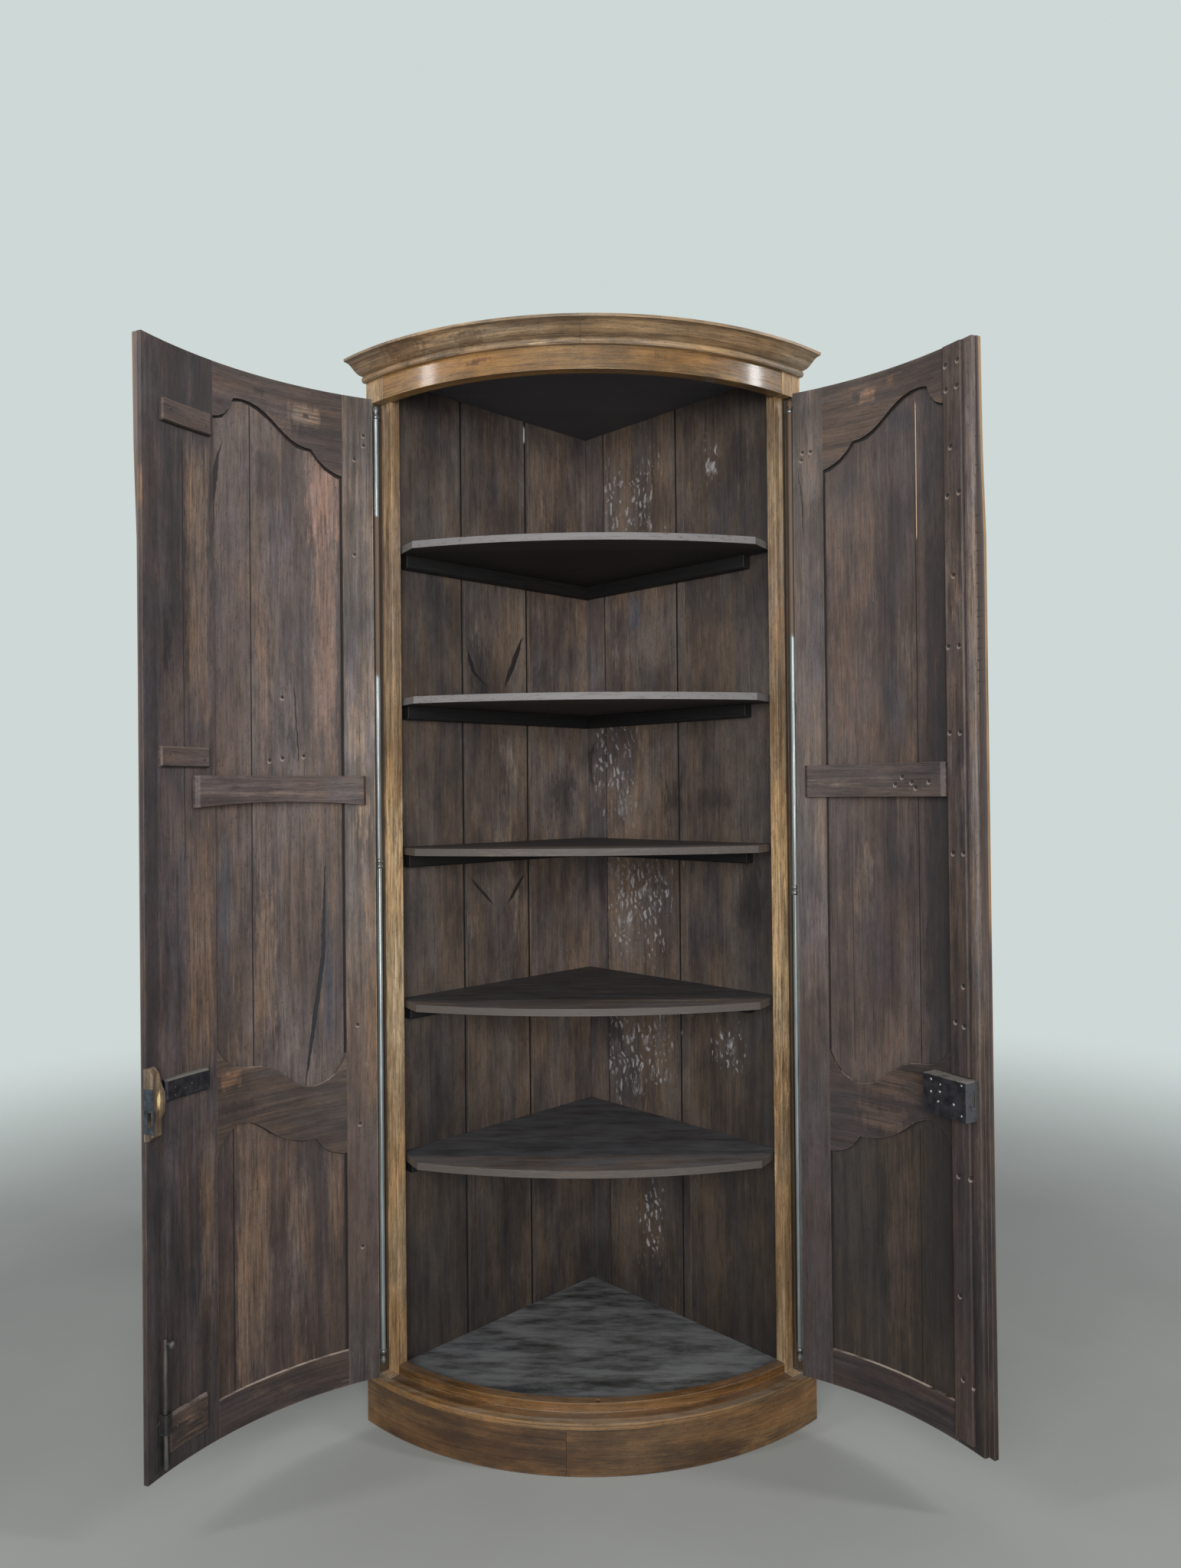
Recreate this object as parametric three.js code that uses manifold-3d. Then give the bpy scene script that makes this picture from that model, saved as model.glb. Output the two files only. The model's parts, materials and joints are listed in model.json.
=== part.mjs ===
// Bow-fronted corner cupboard with two curved doors, standing open.
// Millimetres, Z up, X to the right seen from the front, Y towards the rear corner.
// The origin is on the floor, in the middle of the rear corner of the two back walls.
// The plan is a quarter round: two walls at right angles and a front on one circle.
// Bearings are degrees about the centre of that circle, 0 facing the viewer.

import * as THREE from 'three';
import { mergeVertices } from 'three/addons/utils/BufferGeometryUtils.js';
import Module from 'manifold-3d';

const wasm = await Module();
wasm.setup();

// Overall
const overall_height = 2300;
const front_radius = 685;
const bow_setback = 32;
const wall_thickness = 20;
const base_height = 105;
const seat_gap = 0.3;
const quarter_turn = 90;
const wall_bearing = 45;
const bow_step_angle = 2.5;
const round_segments = 16;
const cut_overrun = 4;

// Front frame
const opening_angle = 39;
const rebate_angle = 41.95;
const post_side_width = 50;
const post_edge_round = 3;
const frieze_drop = 88;
const frieze_thickness = 25;
const ceiling_drop = 23;
const ceiling_thickness = 18;
const bottom_rail_clearance = 40;
const bottom_rail_lip = 22;
const bottom_rail_rise = 19;
const floor_drop = 2;
const floor_thickness = 20;

// Crown moulding
const crown_height = 40;
const crown_foot_depth = 20;
const crown_projection = 56;
const crown_bead_height = 13;
const crown_bead_projection = 11;
const crown_bead_round = 3;
const crown_quirk = 3.5;
const crown_fillet_height = 6;
const crown_fillet_back = 2;
const crown_curve_points = 7;

// Plinth and its twin bead
const plinth_thickness = 15.5;
const plinth_joint_angle = 4;
const bead_height = 12;
const bead_thickness = 18.5;
const bead_round = 2.4;
const bead_quirk = 1.5;

// Back walls
const wall_lap = 9;
const corner_post_width = 85;
const left_board_count = 3;
const right_board_count = 2;

// Shelves, highest first, as shares of the clear height above the floor board; their cleats
const shelf_height_shares = [0.8284, 0.6743, 0.5235, 0.3694, 0.2139];
const shelf_thickness = 16;
const shelf_setback = 68;
const shelf_corner_setback = 11.4;
const shelf_corner_angle = 34.5;
const shelf_wall_setback = 15;
const shelf_front_steps = 14;
const cleat_height = 29;
const cleat_thickness = 24;
const left_cleat_setback = 24;
const right_cleat_setback = 74;
const cleat_round = 3;

// Door edges, each door measured from the middle of the bow towards its own hinge
const hinge_edge_angle = 39.85;
const hinge_stile_angle = 34.2;
const meeting_stile_angle = 9.9;
const left_inner_end_angle = -4.2;
const left_outer_end_angle = -3.2;
const right_inner_end_angle = 4.45;
const right_outer_end_angle = 3.4;
const lip_planing_angle = 0.93;
const left_open_angle = 116;
const right_open_angle = 112.5;

// Door frame
const door_thickness = 22;
const door_back_gap = 1;
const door_foot_gap = 9;
const door_head_gap = 4;
const lap_gap = 0.6;
const left_lap_ease = 1;
const right_lap_ease = 4;
const ease_shares = [[1, 0], [0.5, 0.13], [0.13, 0.5], [0, 1]];

// Planing of the lap: shares of the door's height, and shares of the planing angle there
const planing_shares = [[0, 0], [0.82, 0.27], [0.9, 0.8], [1, 1]];
const groove_depth = 10;
const groove_width = 8;
const groove_inset = 7;
const tenon_length = 8;
const tenon_root = 2;
const tenon_shoulder = 12;
const tenon_fit = 0.4;
const bottom_rail_width = 73;
const arch_drop = 176;
const arch_height = 118;
const mid_rail_rise = 489;
const foot_height = 108;
const mid_rail_width = 151;
const dip_height = 112;

// Door panels
const panel_edge_depth = 9;
const panel_thickness = 7.4;
const panel_edge_bevel = 0.5;
const panel_shoulder = 0.2;
const field_rise = 6.3;
const field_margin = 12;
const field_slope = 26;

// Scrolled edges: shares across the panel from the hinge side, and shares of the rise.
// Each row is one stretch of curve: its start, its two handles and its end.
const arch_shares = [
  [[0, 0], [0.1067, 0.0667], [0.185, 0.2033], [0.235, 0.41]],
  [[0.235, 0.41], [0.47, 0.41], [0.52, 1], [0.76, 1]],
  [[0.76, 1], [0.79, 1], [0.82, 0.99], [0.84, 0.97]],
  [[0.84, 0.97], [0.8633, 0.7367], [0.9167, 0.6067], [1, 0.58]],
];
const dip_shares = [
  [[0, 0.55], [0.04, 0.2], [0.14, 0], [0.25, 0]],
  [[0.25, 0], [0.46, 0], [0.47, 0.54], [0.74, 0.56]],
  [[0.74, 0.56], [0.8667, 0.6], [0.9533, 0.7467], [1, 1]],
];
const foot_shares = [
  [[0, 0], [0.1133, 0.02], [0.1917, 0.1467], [0.235, 0.38]],
  [[0.235, 0.38], [0.58, 0.38], [0.62, 1], [0.81, 1]],
  [[0.81, 1], [0.9033, 0.9667], [0.9667, 0.8], [1, 0.5]],
];
const station_shares = [
  0.09, 0.185, 0.235, 0.29, 0.34, 0.39, 0.44, 0.49, 0.54, 0.59, 0.64, 0.7, 0.76, 0.8, 0.84, 0.91,
];
const bisection_rounds = 40;

// Battens across the inside of the doors
const left_batten_rise = 1222;
const left_batten_width = 62;
const right_batten_rise = 1230;
const right_batten_width = 67;
const left_batten_arch = 9;
const right_batten_arch = 0;
const batten_thickness = 14;
const batten_bevel = 7;
const batten_hinge_angle = 38;
const left_batten_angle = 5.5;

// Strip pegged over the right meeting stile, in two lengths above and below the lock
const strip_thickness = 7;
const strip_width = 45;
const strip_start_angle = 6.25;
const strip_end_gap = 2;
const strip_lock_gap = 3;
const strip_bevel = 2.5;
const strip_batten_gap = 2;

// Hinges: one long barrel per side, split in two, the lower part with a pin
const hinge_angle = 40.9;
const hinge_proud = 1;
const barrel_radius = 5.2;
const pin_radius = 2.6;
const pin_clearance = 0.5;
const pin_length = 60;
const bore_spare = 4;
const barrel_head_drop = 25;
const barrel_foot_rise = 35;
const left_split_rise = 1094;
const right_split_rise = 1029;
const split_gap = 0.5;
const collar_radius = 6.9;
const collar_height = 4;
const finial_height = 20;
const finial_neck_radius = 3.4;
const finial_bulb_radius = 5.4;
const leaf_thickness = 2;
const leaf_width = 16.5;
const leaf_seat = 0.6;
const leaf_offset = 1.5;
const web_thickness = 2.5;
const web_bite = 2;
const leaf_end_inset = 12;

// Lock on the right door
const lock_angle = 9.3;
const lock_rise = 625;
const lock_length = 101;
const lock_height = 74;
const lock_depth = 34;
const lock_wall = 2.5;
const bolt_thickness = 7;
const bolt_height = 24;
const bolt_length = 62;
const bolt_clearance = 0.5;
const bolt_head_inset = 1;
const bolt_back_gap = 9;
const bolt_notch_depth = 7;
const bolt_notch_width = 9;
const rib_height = 44;
const rib_inset = 26;
const key_angle = 8.3;
const key_radius = 4;
const key_rise = 4;
const key_slot_width = 4;
const key_slot_drop = 13;

// Strike block and keeper on the left door
const block_start_angle = 4.6;
const block_end_angle = 1.35;
const block_narrowing = 1.3;
const block_depth = 20;
const block_height = 130;
const block_drop = 40;
const block_round = 7;
const block_taper = 9;
const block_height_shares = [0.29, 0.38, 0.54, 0.64, 0.73, 0.84];
const block_narrow_shares = [0.65, 0.12, 0, 0.08, 0.5, 0.81];
const keeper_thickness = 2;
const keeper_width = 20.5;
const keeper_height = 82;
const keeper_drop = 27;
const keeper_slot_fit = 1;
const mortise_depth = 24;

// Floor bolt on the left door
const rod_angle = 1.3;
const rod_radius = 4;
const rod_clearance = 0.5;
const rod_setback = 9.5;
const rod_length = 238;
const rod_lift = 4;
const rod_tip = 3;
const knob_drop = 7;
const knob_neck_radius = 2.6;
const knob_neck_length = 9;
const knob_radius = 7;
const knob_length = 9;
const plate_rise = 2;
const plate_height = 92;
const plate_width = 34;
const plate_thickness = 3;
const plate_corner = 9;
const guide_rise = 80;
const guide_height = 36;
const guide_width = 17;
const guide_depth = 18;
const guide_chamfer = 3;
const socket_depth = 34;
const socket_radius = 5.5;

// Sizes that follow from those above
const corner_half = wall_thickness / Math.SQRT2;
const door_inner = front_radius - door_thickness;
const door_middle = front_radius - door_thickness / 2;
const rebate_radius = door_inner - door_back_gap;
const groove_inner = door_inner + groove_inset;
const groove_outer = groove_inner + groove_width;
const ceiling_foot = overall_height - ceiling_drop;
const frieze_foot = overall_height - frieze_drop;
const wall_head = ceiling_foot - seat_gap;
const wall_inner = wall_thickness + seat_gap;
const door_foot = base_height + door_foot_gap;
const door_head = frieze_foot - door_head_gap;
const ledge_top = base_height + bottom_rail_rise;
const ledge_back = rebate_radius - bottom_rail_lip;
const floor_top = base_height - floor_drop;
const arch_foot = door_head - arch_drop;
const mid_rail_foot = door_foot + mid_rail_rise;
const mid_rail_top = mid_rail_foot + mid_rail_width;
const bottom_rail_head = door_foot + bottom_rail_width;
const hinge_radius = front_radius + hinge_proud;
const panel_width = radians(hinge_stile_angle - meeting_stile_angle) * door_middle;
const gap_angle = arc_angle(seat_gap, door_middle);
const lock_plane = door_inner * Math.cos(Math.asin(lock_length / 2 / door_inner)) - seat_gap;
const lock_foot = door_foot + lock_rise;
const lock_head = lock_foot + lock_height;
const lock_centre = lock_foot + lock_height / 2;
const bolt_plane = lock_plane - bolt_back_gap - bolt_thickness / 2;
const rod_plane = door_inner - rod_setback;
const rod_foot = ledge_top + rod_lift;
const strip_end_angle = strip_start_angle + arc_angle(strip_width, door_inner);
const right_batten_angle = strip_end_angle + arc_angle(strip_batten_gap, door_inner);
const wall_reach = wall_reach_at(front_radius) - post_side_width;

function radians(degrees) {
  return (degrees * Math.PI) / (quarter_turn * 2);
}

function degrees_of(angle) {
  return (angle * quarter_turn * 2) / Math.PI;
}

// Bearing covered by a short length along a circle
function arc_angle(length, radius) {
  return degrees_of(length / radius);
}

// A point at a radius and bearing about the centre of the bow
function bow_point(radius, bearing, height = 0) {
  const turn = radians(bearing);
  return new THREE.Vector3(radius * Math.sin(turn), bow_setback - radius * Math.cos(turn), height);
}

// A point in a back wall: along it from the outer corner, and inward from its rear face
function wall_point(side, along, inward) {
  const lateral = (along - inward) / Math.SQRT2;
  const forward = (along + inward) / Math.SQRT2;
  return new THREE.Vector3(side * lateral, corner_half - forward, 0);
}

// Bearing at which a circle about the centre of the bow meets the rear face of a wall
function wall_limit(radius) {
  return wall_bearing + degrees_of(Math.asin((corner_half - bow_setback) / (Math.SQRT2 * radius)));
}

// How far along the wall that meeting point lies
function wall_reach_at(radius) {
  const end = bow_point(radius, wall_limit(radius));
  return (end.x - end.y + corner_half) / Math.SQRT2;
}

// Where a bearing crosses a plane square to the wall, given how far along the wall it stands
function reach_point(reach, bearing) {
  const turn = radians(bearing);
  const forward = reach * Math.SQRT2 - corner_half + bow_setback;
  return bow_point(forward / (Math.sin(turn) + Math.cos(turn)), bearing);
}

function signed_volume(positions, faces) {
  return faces.reduce((total, [a, b, c]) => (
    total + positions[a].dot(positions[b].clone().cross(positions[c]))), 0);
}

function solid_from(positions, faces) {
  const outward = signed_volume(positions, faces) > 0;
  const geometry = new THREE.BufferGeometry();
  const numbers = positions.flatMap((p) => [p.x, p.y, p.z]);
  geometry.setAttribute('position', new THREE.Float32BufferAttribute(numbers, 3));
  geometry.setIndex(faces.flatMap(([a, b, c]) => (outward ? [a, b, c] : [a, c, b])));
  return geometry;
}

// Triangles of a flat outline, wound the way the outline runs
function cap_faces(outline) {
  const area = THREE.ShapeUtils.area(outline);
  return THREE.ShapeUtils.triangulateShape(outline, []).map(([a, b, c]) => {
    const part = THREE.ShapeUtils.area([outline[a], outline[b], outline[c]]);
    return part * area > 0 ? [a, b, c] : [a, c, b];
  });
}

// A solid through a row of closed sections that all have the same number of corners.
// The two outlines give the flat shapes of the first and the last section.
function loft(sections, first_outline, last_outline) {
  const corners = first_outline.length;
  const faces = cap_faces(first_outline).map(([a, b, c]) => [a, c, b]);
  for (let row = 1; row < sections.length; row += 1) {
    const near = (row - 1) * corners;
    const far = row * corners;
    for (let i = 0; i < corners; i += 1) {
      const next = (i + 1) % corners;
      faces.push([near + i, near + next, far + next]);
      faces.push([near + i, far + next, far + i]);
    }
  }
  const last = (sections.length - 1) * corners;
  cap_faces(last_outline).forEach((face) => faces.push(face.map((index) => index + last)));
  return solid_from(sections.flat(), faces);
}

function flat_outline(pairs) {
  return pairs.map(([a, b]) => new THREE.Vector2(a, b));
}

// An upright solid on a plan outline
function prism(points, low, high) {
  const outline = points.map((p) => new THREE.Vector2(p.x, p.y));
  const at = (height) => points.map((p) => new THREE.Vector3(p.x, p.y, height));
  return loft([at(low), at(high)], outline, outline);
}

// A profile of radii and heights carried round the bow; each radius has its own two bearings,
// so that an end can be cut by the plane of a wall
function bow_sweep(profile, start_of, end_of) {
  const span = Math.abs(end_of(front_radius) - start_of(front_radius));
  const steps = Math.ceil(span / bow_step_angle);
  const sections = Array.from({ length: steps + 1 }, (unused, step) => (
    profile.map(([radius, height]) => {
      const bearing = THREE.MathUtils.lerp(start_of(radius), end_of(radius), step / steps);
      return bow_point(radius, bearing, height);
    })));
  return loft(sections, flat_outline(profile), flat_outline(profile));
}

// A section of radii and heights that may change from one bearing to the next
function bow_loft(side, bearings, section_of) {
  const rows = bearings.map(section_of);
  const sections = rows.map((row, i) => (
    row.map(([radius, height]) => bow_point(radius, side * bearings[i], height))));
  return loft(sections, flat_outline(rows[0]), flat_outline(rows[rows.length - 1]));
}

// Points along an arc about the centre of the bow, both ends included
function arc_steps(from, to) {
  return Math.max(1, Math.ceil(Math.abs(to - from) / bow_step_angle));
}

function bow_arc(radius, from, to, steps = arc_steps(from, to)) {
  return Array.from({ length: steps + 1 }, (unused, step) => (
    bow_point(radius, THREE.MathUtils.lerp(from, to, step / steps))));
}

function mirrored(points, side) {
  return points.map((p) => new THREE.Vector3(side * p.x, p.y, p.z));
}

// Carries a piece drawn facing the viewer, about the centre of the bow, to a bearing
function turned(geometry, bearing) {
  return geometry.rotateZ(radians(bearing)).translate(0, bow_setback, 0);
}

// A block between two corners, drawn facing the viewer: across, out to a radius, and up
function block(left, right, inner, outer, low, high) {
  const width = Math.abs(right - left);
  const shape = new THREE.BoxGeometry(width, outer - inner, high - low);
  return shape.translate((left + right) / 2, -(inner + outer) / 2, (low + high) / 2);
}

// A turned solid on an upright axis, from radii and heights
function turning(profile) {
  const points = profile.map(([radius, height]) => new THREE.Vector2(radius, height));
  return new THREE.LatheGeometry(points, round_segments).rotateX(radians(quarter_turn));
}

function to_manifold(geometry) {
  const bare = geometry.clone();
  bare.deleteAttribute('normal');
  bare.deleteAttribute('uv');
  const merged = mergeVertices(bare);
  const index = merged.index.array;
  const whole = [];
  for (let i = 0; i < index.length; i += 3) {
    const [a, b, c] = [index[i], index[i + 1], index[i + 2]];
    if (a !== b && b !== c && c !== a) whole.push(a, b, c);
  }
  return new wasm.Manifold(new wasm.Mesh({
    numProp: 3,
    vertProperties: new Float32Array(merged.attributes.position.array),
    triVerts: new Uint32Array(whole),
  }));
}

function from_manifold(solid) {
  const mesh = solid.getMesh();
  const geometry = new THREE.BufferGeometry();
  geometry.setAttribute('position', new THREE.BufferAttribute(mesh.vertProperties, 3));
  geometry.setIndex(new THREE.BufferAttribute(mesh.triVerts, 1));
  return geometry;
}

function joined(...geometries) {
  const solids = geometries.map(to_manifold);
  return from_manifold(solids.reduce((whole, solid) => whole.add(solid)));
}

function cut(geometry, ...tools) {
  const solids = tools.map(to_manifold);
  return from_manifold(solids.reduce((whole, tool) => whole.subtract(tool), to_manifold(geometry)));
}

// Colours and finishes
const dark_oak = { color: 0x4a3c34, roughness: 0.75, metalness: 0 };
const warm_oak = { color: 0x6d5138, roughness: 0.7, metalness: 0 };
const honey_oak = { color: 0x8a6238, roughness: 0.7, metalness: 0 };
const grey_oak = { color: 0x55504c, roughness: 0.8, metalness: 0 };
const dark_iron = { color: 0x2f3033, roughness: 0.5, metalness: 0.9 };
const bright_iron = { color: 0x8b8d8c, roughness: 0.4, metalness: 0.9 };

function piece(name, geometry, finish) {
  const mesh = new THREE.Mesh(geometry, new THREE.MeshStandardMaterial(finish));
  mesh.name = name;
  return mesh;
}

// Crown moulding: a bead against the frieze, a quirk, an ogee and a square top edge
function crown_profile() {
  const face = front_radius + seat_gap;
  const foot = overall_height - crown_height;
  const bead_out = front_radius + crown_bead_projection;
  const bead_top = foot + crown_bead_height;
  const tip = front_radius + crown_projection;
  const fillet_foot = overall_height - crown_fillet_height;
  const inside = front_radius - crown_foot_depth;
  const ogee = new THREE.CubicBezierCurve(
    new THREE.Vector2(bead_out - crown_quirk, bead_top),
    new THREE.Vector2((bead_out + tip) / 2, bead_top),
    new THREE.Vector2((bead_out + tip) / 2, fillet_foot),
    new THREE.Vector2(tip - crown_fillet_back, fillet_foot),
  );
  return [
    [face, ceiling_foot],
    [face, foot],
    [bead_out - crown_bead_round, foot],
    [bead_out, foot + crown_bead_round],
    [bead_out, bead_top - crown_bead_round],
    ...ogee.getPoints(crown_curve_points - 1).map((p) => [p.x, p.y]),
    [tip, fillet_foot],
    [tip, overall_height],
    [inside, overall_height],
    [inside, ceiling_foot],
  ];
}

function crown_half(name, side) {
  const start_of = (radius) => side * arc_angle(seat_gap / 2, radius);
  const end_of = (radius) => side * wall_limit(radius);
  return piece(name, bow_sweep(crown_profile(), start_of, end_of), warm_oak);
}

function frieze_rail() {
  const back = front_radius - frieze_thickness;
  const end = opening_angle - gap_angle;
  const profile = [
    [back, frieze_foot],
    [front_radius, frieze_foot],
    [front_radius, wall_head],
    [back, wall_head],
  ];
  return piece('frieze_rail', bow_sweep(profile, () => -end, () => end), warm_oak);
}

// Front post: its outer side lies in the wall plane, and a rebate takes the door and its hinge
function front_post(name, side) {
  const outline = [
    wall_point(1, wall_reach, 0),
    ...bow_arc(front_radius, wall_limit(front_radius), opening_angle),
    reach_point(wall_reach, opening_angle),
  ];
  const past = opening_angle - gap_angle * 2;
  const beyond = front_radius + cut_overrun;
  const round_end = rebate_angle + arc_angle(post_edge_round + cut_overrun, front_radius);
  const rebate = [
    ...bow_arc(rebate_radius, past, rebate_angle),
    bow_point(front_radius - post_edge_round, rebate_angle),
    bow_point(beyond, round_end),
    bow_point(beyond, past),
  ];
  const body = prism(mirrored(outline, side), 0, wall_head);
  const tool = prism(mirrored(rebate, side), base_height, frieze_foot);
  return piece(name, cut(body, tool), honey_oak);
}

function bolt_socket() {
  const foot = ledge_top - socket_depth;
  const shape = turning([
    [0, foot],
    [socket_radius, foot],
    [socket_radius, ledge_top + cut_overrun],
    [0, ledge_top + cut_overrun],
  ]);
  return turned(shape.translate(0, -rod_plane, 0), rod_angle);
}

// Bottom rail: a ledge under the doors and a raised stop behind them, bored for the bolt
function bottom_rail() {
  const end = opening_angle - gap_angle;
  const profile = [
    [ledge_back, bottom_rail_clearance],
    [front_radius, bottom_rail_clearance],
    [front_radius, base_height],
    [rebate_radius, base_height],
    [rebate_radius, ledge_top],
    [ledge_back, ledge_top],
  ];
  const rail = bow_sweep(profile, () => -end, () => end);
  return piece('bottom_rail', cut(rail, bolt_socket()), honey_oak);
}

function plinth_board(name, start_of, end_of) {
  const face = front_radius + seat_gap;
  const out = face + plinth_thickness;
  const top = base_height - bead_height - seat_gap;
  const profile = [[face, 0], [out, 0], [out, top], [face, top]];
  return piece(name, bow_sweep(profile, start_of, end_of), warm_oak);
}

function plinth_moulding() {
  const face = front_radius + seat_gap;
  const out = face + bead_thickness;
  const foot = base_height - bead_height;
  const middle = foot + bead_height / 2;
  const profile = [
    [face, foot],
    [out - bead_round, foot],
    [out, foot + bead_round / 2],
    [out, middle - bead_round / 2],
    [out - bead_quirk, middle],
    [out, middle + bead_round / 2],
    [out, base_height - bead_round],
    [out - bead_round, base_height],
    [face, base_height],
  ];
  const bead = bow_sweep(profile, (radius) => -wall_limit(radius), wall_limit);
  return piece('plinth_moulding', bead, grey_oak);
}

// Wall board; where it meets the next board, their half-thickness edges lap each other
function wall_board(name, side, from, to, laps_before, laps_after) {
  const half = wall_thickness / 2;
  const end = to - seat_gap;
  const outline = [wall_point(side, end, wall_thickness), wall_point(side, from, wall_thickness)];
  if (laps_before) {
    outline.push(wall_point(side, from, half - seat_gap / 2));
    outline.push(wall_point(side, from - wall_lap, half - seat_gap / 2));
    outline.push(wall_point(side, from - wall_lap, 0));
  } else {
    outline.push(wall_point(side, from, 0));
  }
  if (laps_after) {
    outline.push(wall_point(side, end - wall_lap, 0));
    outline.push(wall_point(side, end - wall_lap, half + seat_gap / 2));
    outline.push(wall_point(side, end, half + seat_gap / 2));
  } else {
    outline.push(wall_point(side, end, 0));
  }
  return piece(name, prism(outline, 0, wall_head), dark_oak);
}

// Boards of one wall, of equal width, from a start to the front post
function wall_boards(prefix, side, start, count, first_laps) {
  const width = (wall_reach - start) / count;
  return Array.from({ length: count }, (unused, i) => {
    const from = start + width * i;
    const laps_before = i > 0 || first_laps;
    return wall_board(`${prefix}_${i + 1}`, side, from, from + width, laps_before, i < count - 1);
  });
}

function floor_board() {
  const end = opening_angle - gap_angle;
  const reach = wall_reach - seat_gap;
  const right = [wall_point(1, reach, wall_inner), reach_point(reach, end)];
  const outline = [
    wall_point(1, wall_inner, wall_inner),
    ...right,
    ...bow_arc(ledge_back - seat_gap, end, -end),
    ...mirrored(right, -1).reverse(),
  ];
  return piece('floor_board', prism(outline, floor_top - floor_thickness, floor_top), grey_oak);
}

function top_board() {
  const front = front_radius - crown_foot_depth - seat_gap;
  const end = wall_limit(front);
  const outline = [wall_point(1, 0, 0), ...bow_arc(front, end, -end)];
  const shape = prism(outline, ceiling_foot, ceiling_foot + ceiling_thickness);
  return piece('top_board', shape, dark_oak);
}

// Shelf: square at the back, with a front edge flatter than the bow of the doors
function shelf(name, top) {
  const reach = wall_reach - shelf_wall_setback;
  const corner = bow_point(door_inner - shelf_corner_setback, shelf_corner_angle);
  const front = bow_setback - door_inner + shelf_setback;
  const sagitta = corner.y - front;
  const radius = (corner.x * corner.x + sagitta * sagitta) / (sagitta * 2);
  const half = Math.asin(corner.x / radius);
  const curve = Array.from({ length: shelf_front_steps + 1 }, (unused, step) => {
    const turn = THREE.MathUtils.lerp(half, -half, step / shelf_front_steps);
    return new THREE.Vector3(radius * Math.sin(turn), front + radius - radius * Math.cos(turn), 0);
  });
  const outline = [
    wall_point(1, wall_inner, wall_inner),
    wall_point(1, reach, wall_inner),
    ...curve,
    wall_point(-1, reach, wall_inner),
  ];
  return piece(name, prism(outline, top - shelf_thickness, top), grey_oak);
}

// Cleat under a shelf, its lower inner edge eased
function cleat(name, side, start, end, shelf_top) {
  const top = shelf_top - shelf_thickness - seat_gap;
  const foot = top - cleat_height;
  const far = wall_inner + cleat_thickness;
  const profile = [
    [wall_inner, foot],
    [far - cleat_round, foot],
    [far, foot + cleat_round],
    [far, top],
    [wall_inner, top],
  ];
  const section = (along) => profile.map(([inward, height]) => (
    wall_point(side, along, inward).setZ(height)));
  const outline = flat_outline(profile);
  return piece(name, loft([section(start), section(end)], outline, outline), grey_oak);
}

// Height of a scrolled edge at a share across the panel
function scroll_rise(stretches, share) {
  const stretch = stretches.find((row) => share <= row[3][0]);
  const curve = new THREE.CubicBezierCurve(...flat_outline(stretch));
  let low = 0;
  let high = 1;
  for (let round = 0; round < bisection_rounds; round += 1) {
    const middle = (low + high) / 2;
    if (curve.getPoint(middle).x < share) low = middle;
    else high = middle;
  }
  return curve.getPoint((low + high) / 2).y;
}

function panel_share(bearing) {
  const share = (hinge_stile_angle - bearing) / (hinge_stile_angle - meeting_stile_angle);
  return THREE.MathUtils.clamp(share, 0, 1);
}

function arch_edge(bearing) {
  return arch_foot + arch_height * scroll_rise(arch_shares, panel_share(bearing));
}

function dip_edge(bearing) {
  return mid_rail_top + dip_height * scroll_rise(dip_shares, panel_share(bearing));
}

function foot_edge(bearing) {
  return mid_rail_foot + foot_height * scroll_rise(foot_shares, panel_share(bearing));
}

// Bearings at which rails and panels are sectioned, between the two stiles
function inner_bearings() {
  const start = field_margin / panel_width;
  const full = (field_margin + field_slope) / panel_width;
  const shares = [start, full, ...station_shares, 1 - full, 1 - start].sort((a, b) => a - b);
  return shares.map((share) => (
    THREE.MathUtils.lerp(hinge_stile_angle, meeting_stile_angle, share)));
}

// The groove in an edge of a rail, from its inner to its outer face; up is 1 or -1
function grooved(edge, up) {
  return [
    [door_inner, edge],
    [groove_inner, edge],
    [groove_inner, edge + up * groove_depth],
    [groove_outer, edge + up * groove_depth],
    [groove_outer, edge],
    [front_radius, edge],
  ];
}

// Stub tenon at one end of a rail
function tenon(side, shoulder, outward, low, high) {
  const root = arc_angle(tenon_root, door_middle);
  const reach = arc_angle(tenon_length, door_middle);
  const bearings = [shoulder - outward * root, shoulder + outward * reach];
  const section = [
    [groove_inner + tenon_fit, low + tenon_shoulder],
    [groove_outer - tenon_fit, low + tenon_shoulder],
    [groove_outer - tenon_fit, high - tenon_shoulder],
    [groove_inner + tenon_fit, high - tenon_shoulder],
  ];
  return bow_loft(side, bearings, () => section);
}

// A rail between the stiles; the two edges given last bound its wood clear of any groove
function rail(name, side, section_of, low_of, high_of) {
  const hinge_end = hinge_stile_angle - gap_angle;
  const meeting_end = meeting_stile_angle + gap_angle;
  const body = bow_loft(side, [hinge_end, ...inner_bearings(), meeting_end], section_of);
  const hinge_tenon = tenon(side, hinge_end, 1, low_of(hinge_end), high_of(hinge_end));
  const meeting_tenon = tenon(side, meeting_end, -1, low_of(meeting_end), high_of(meeting_end));
  return piece(name, joined(body, hinge_tenon, meeting_tenon), dark_oak);
}

function top_rail(name, side) {
  const section_of = (bearing) => [
    ...grooved(arch_edge(bearing), 1),
    [front_radius, door_head],
    [door_inner, door_head],
  ];
  const low_of = (bearing) => arch_edge(bearing) + groove_depth;
  return rail(name, side, section_of, low_of, () => door_head);
}

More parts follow.
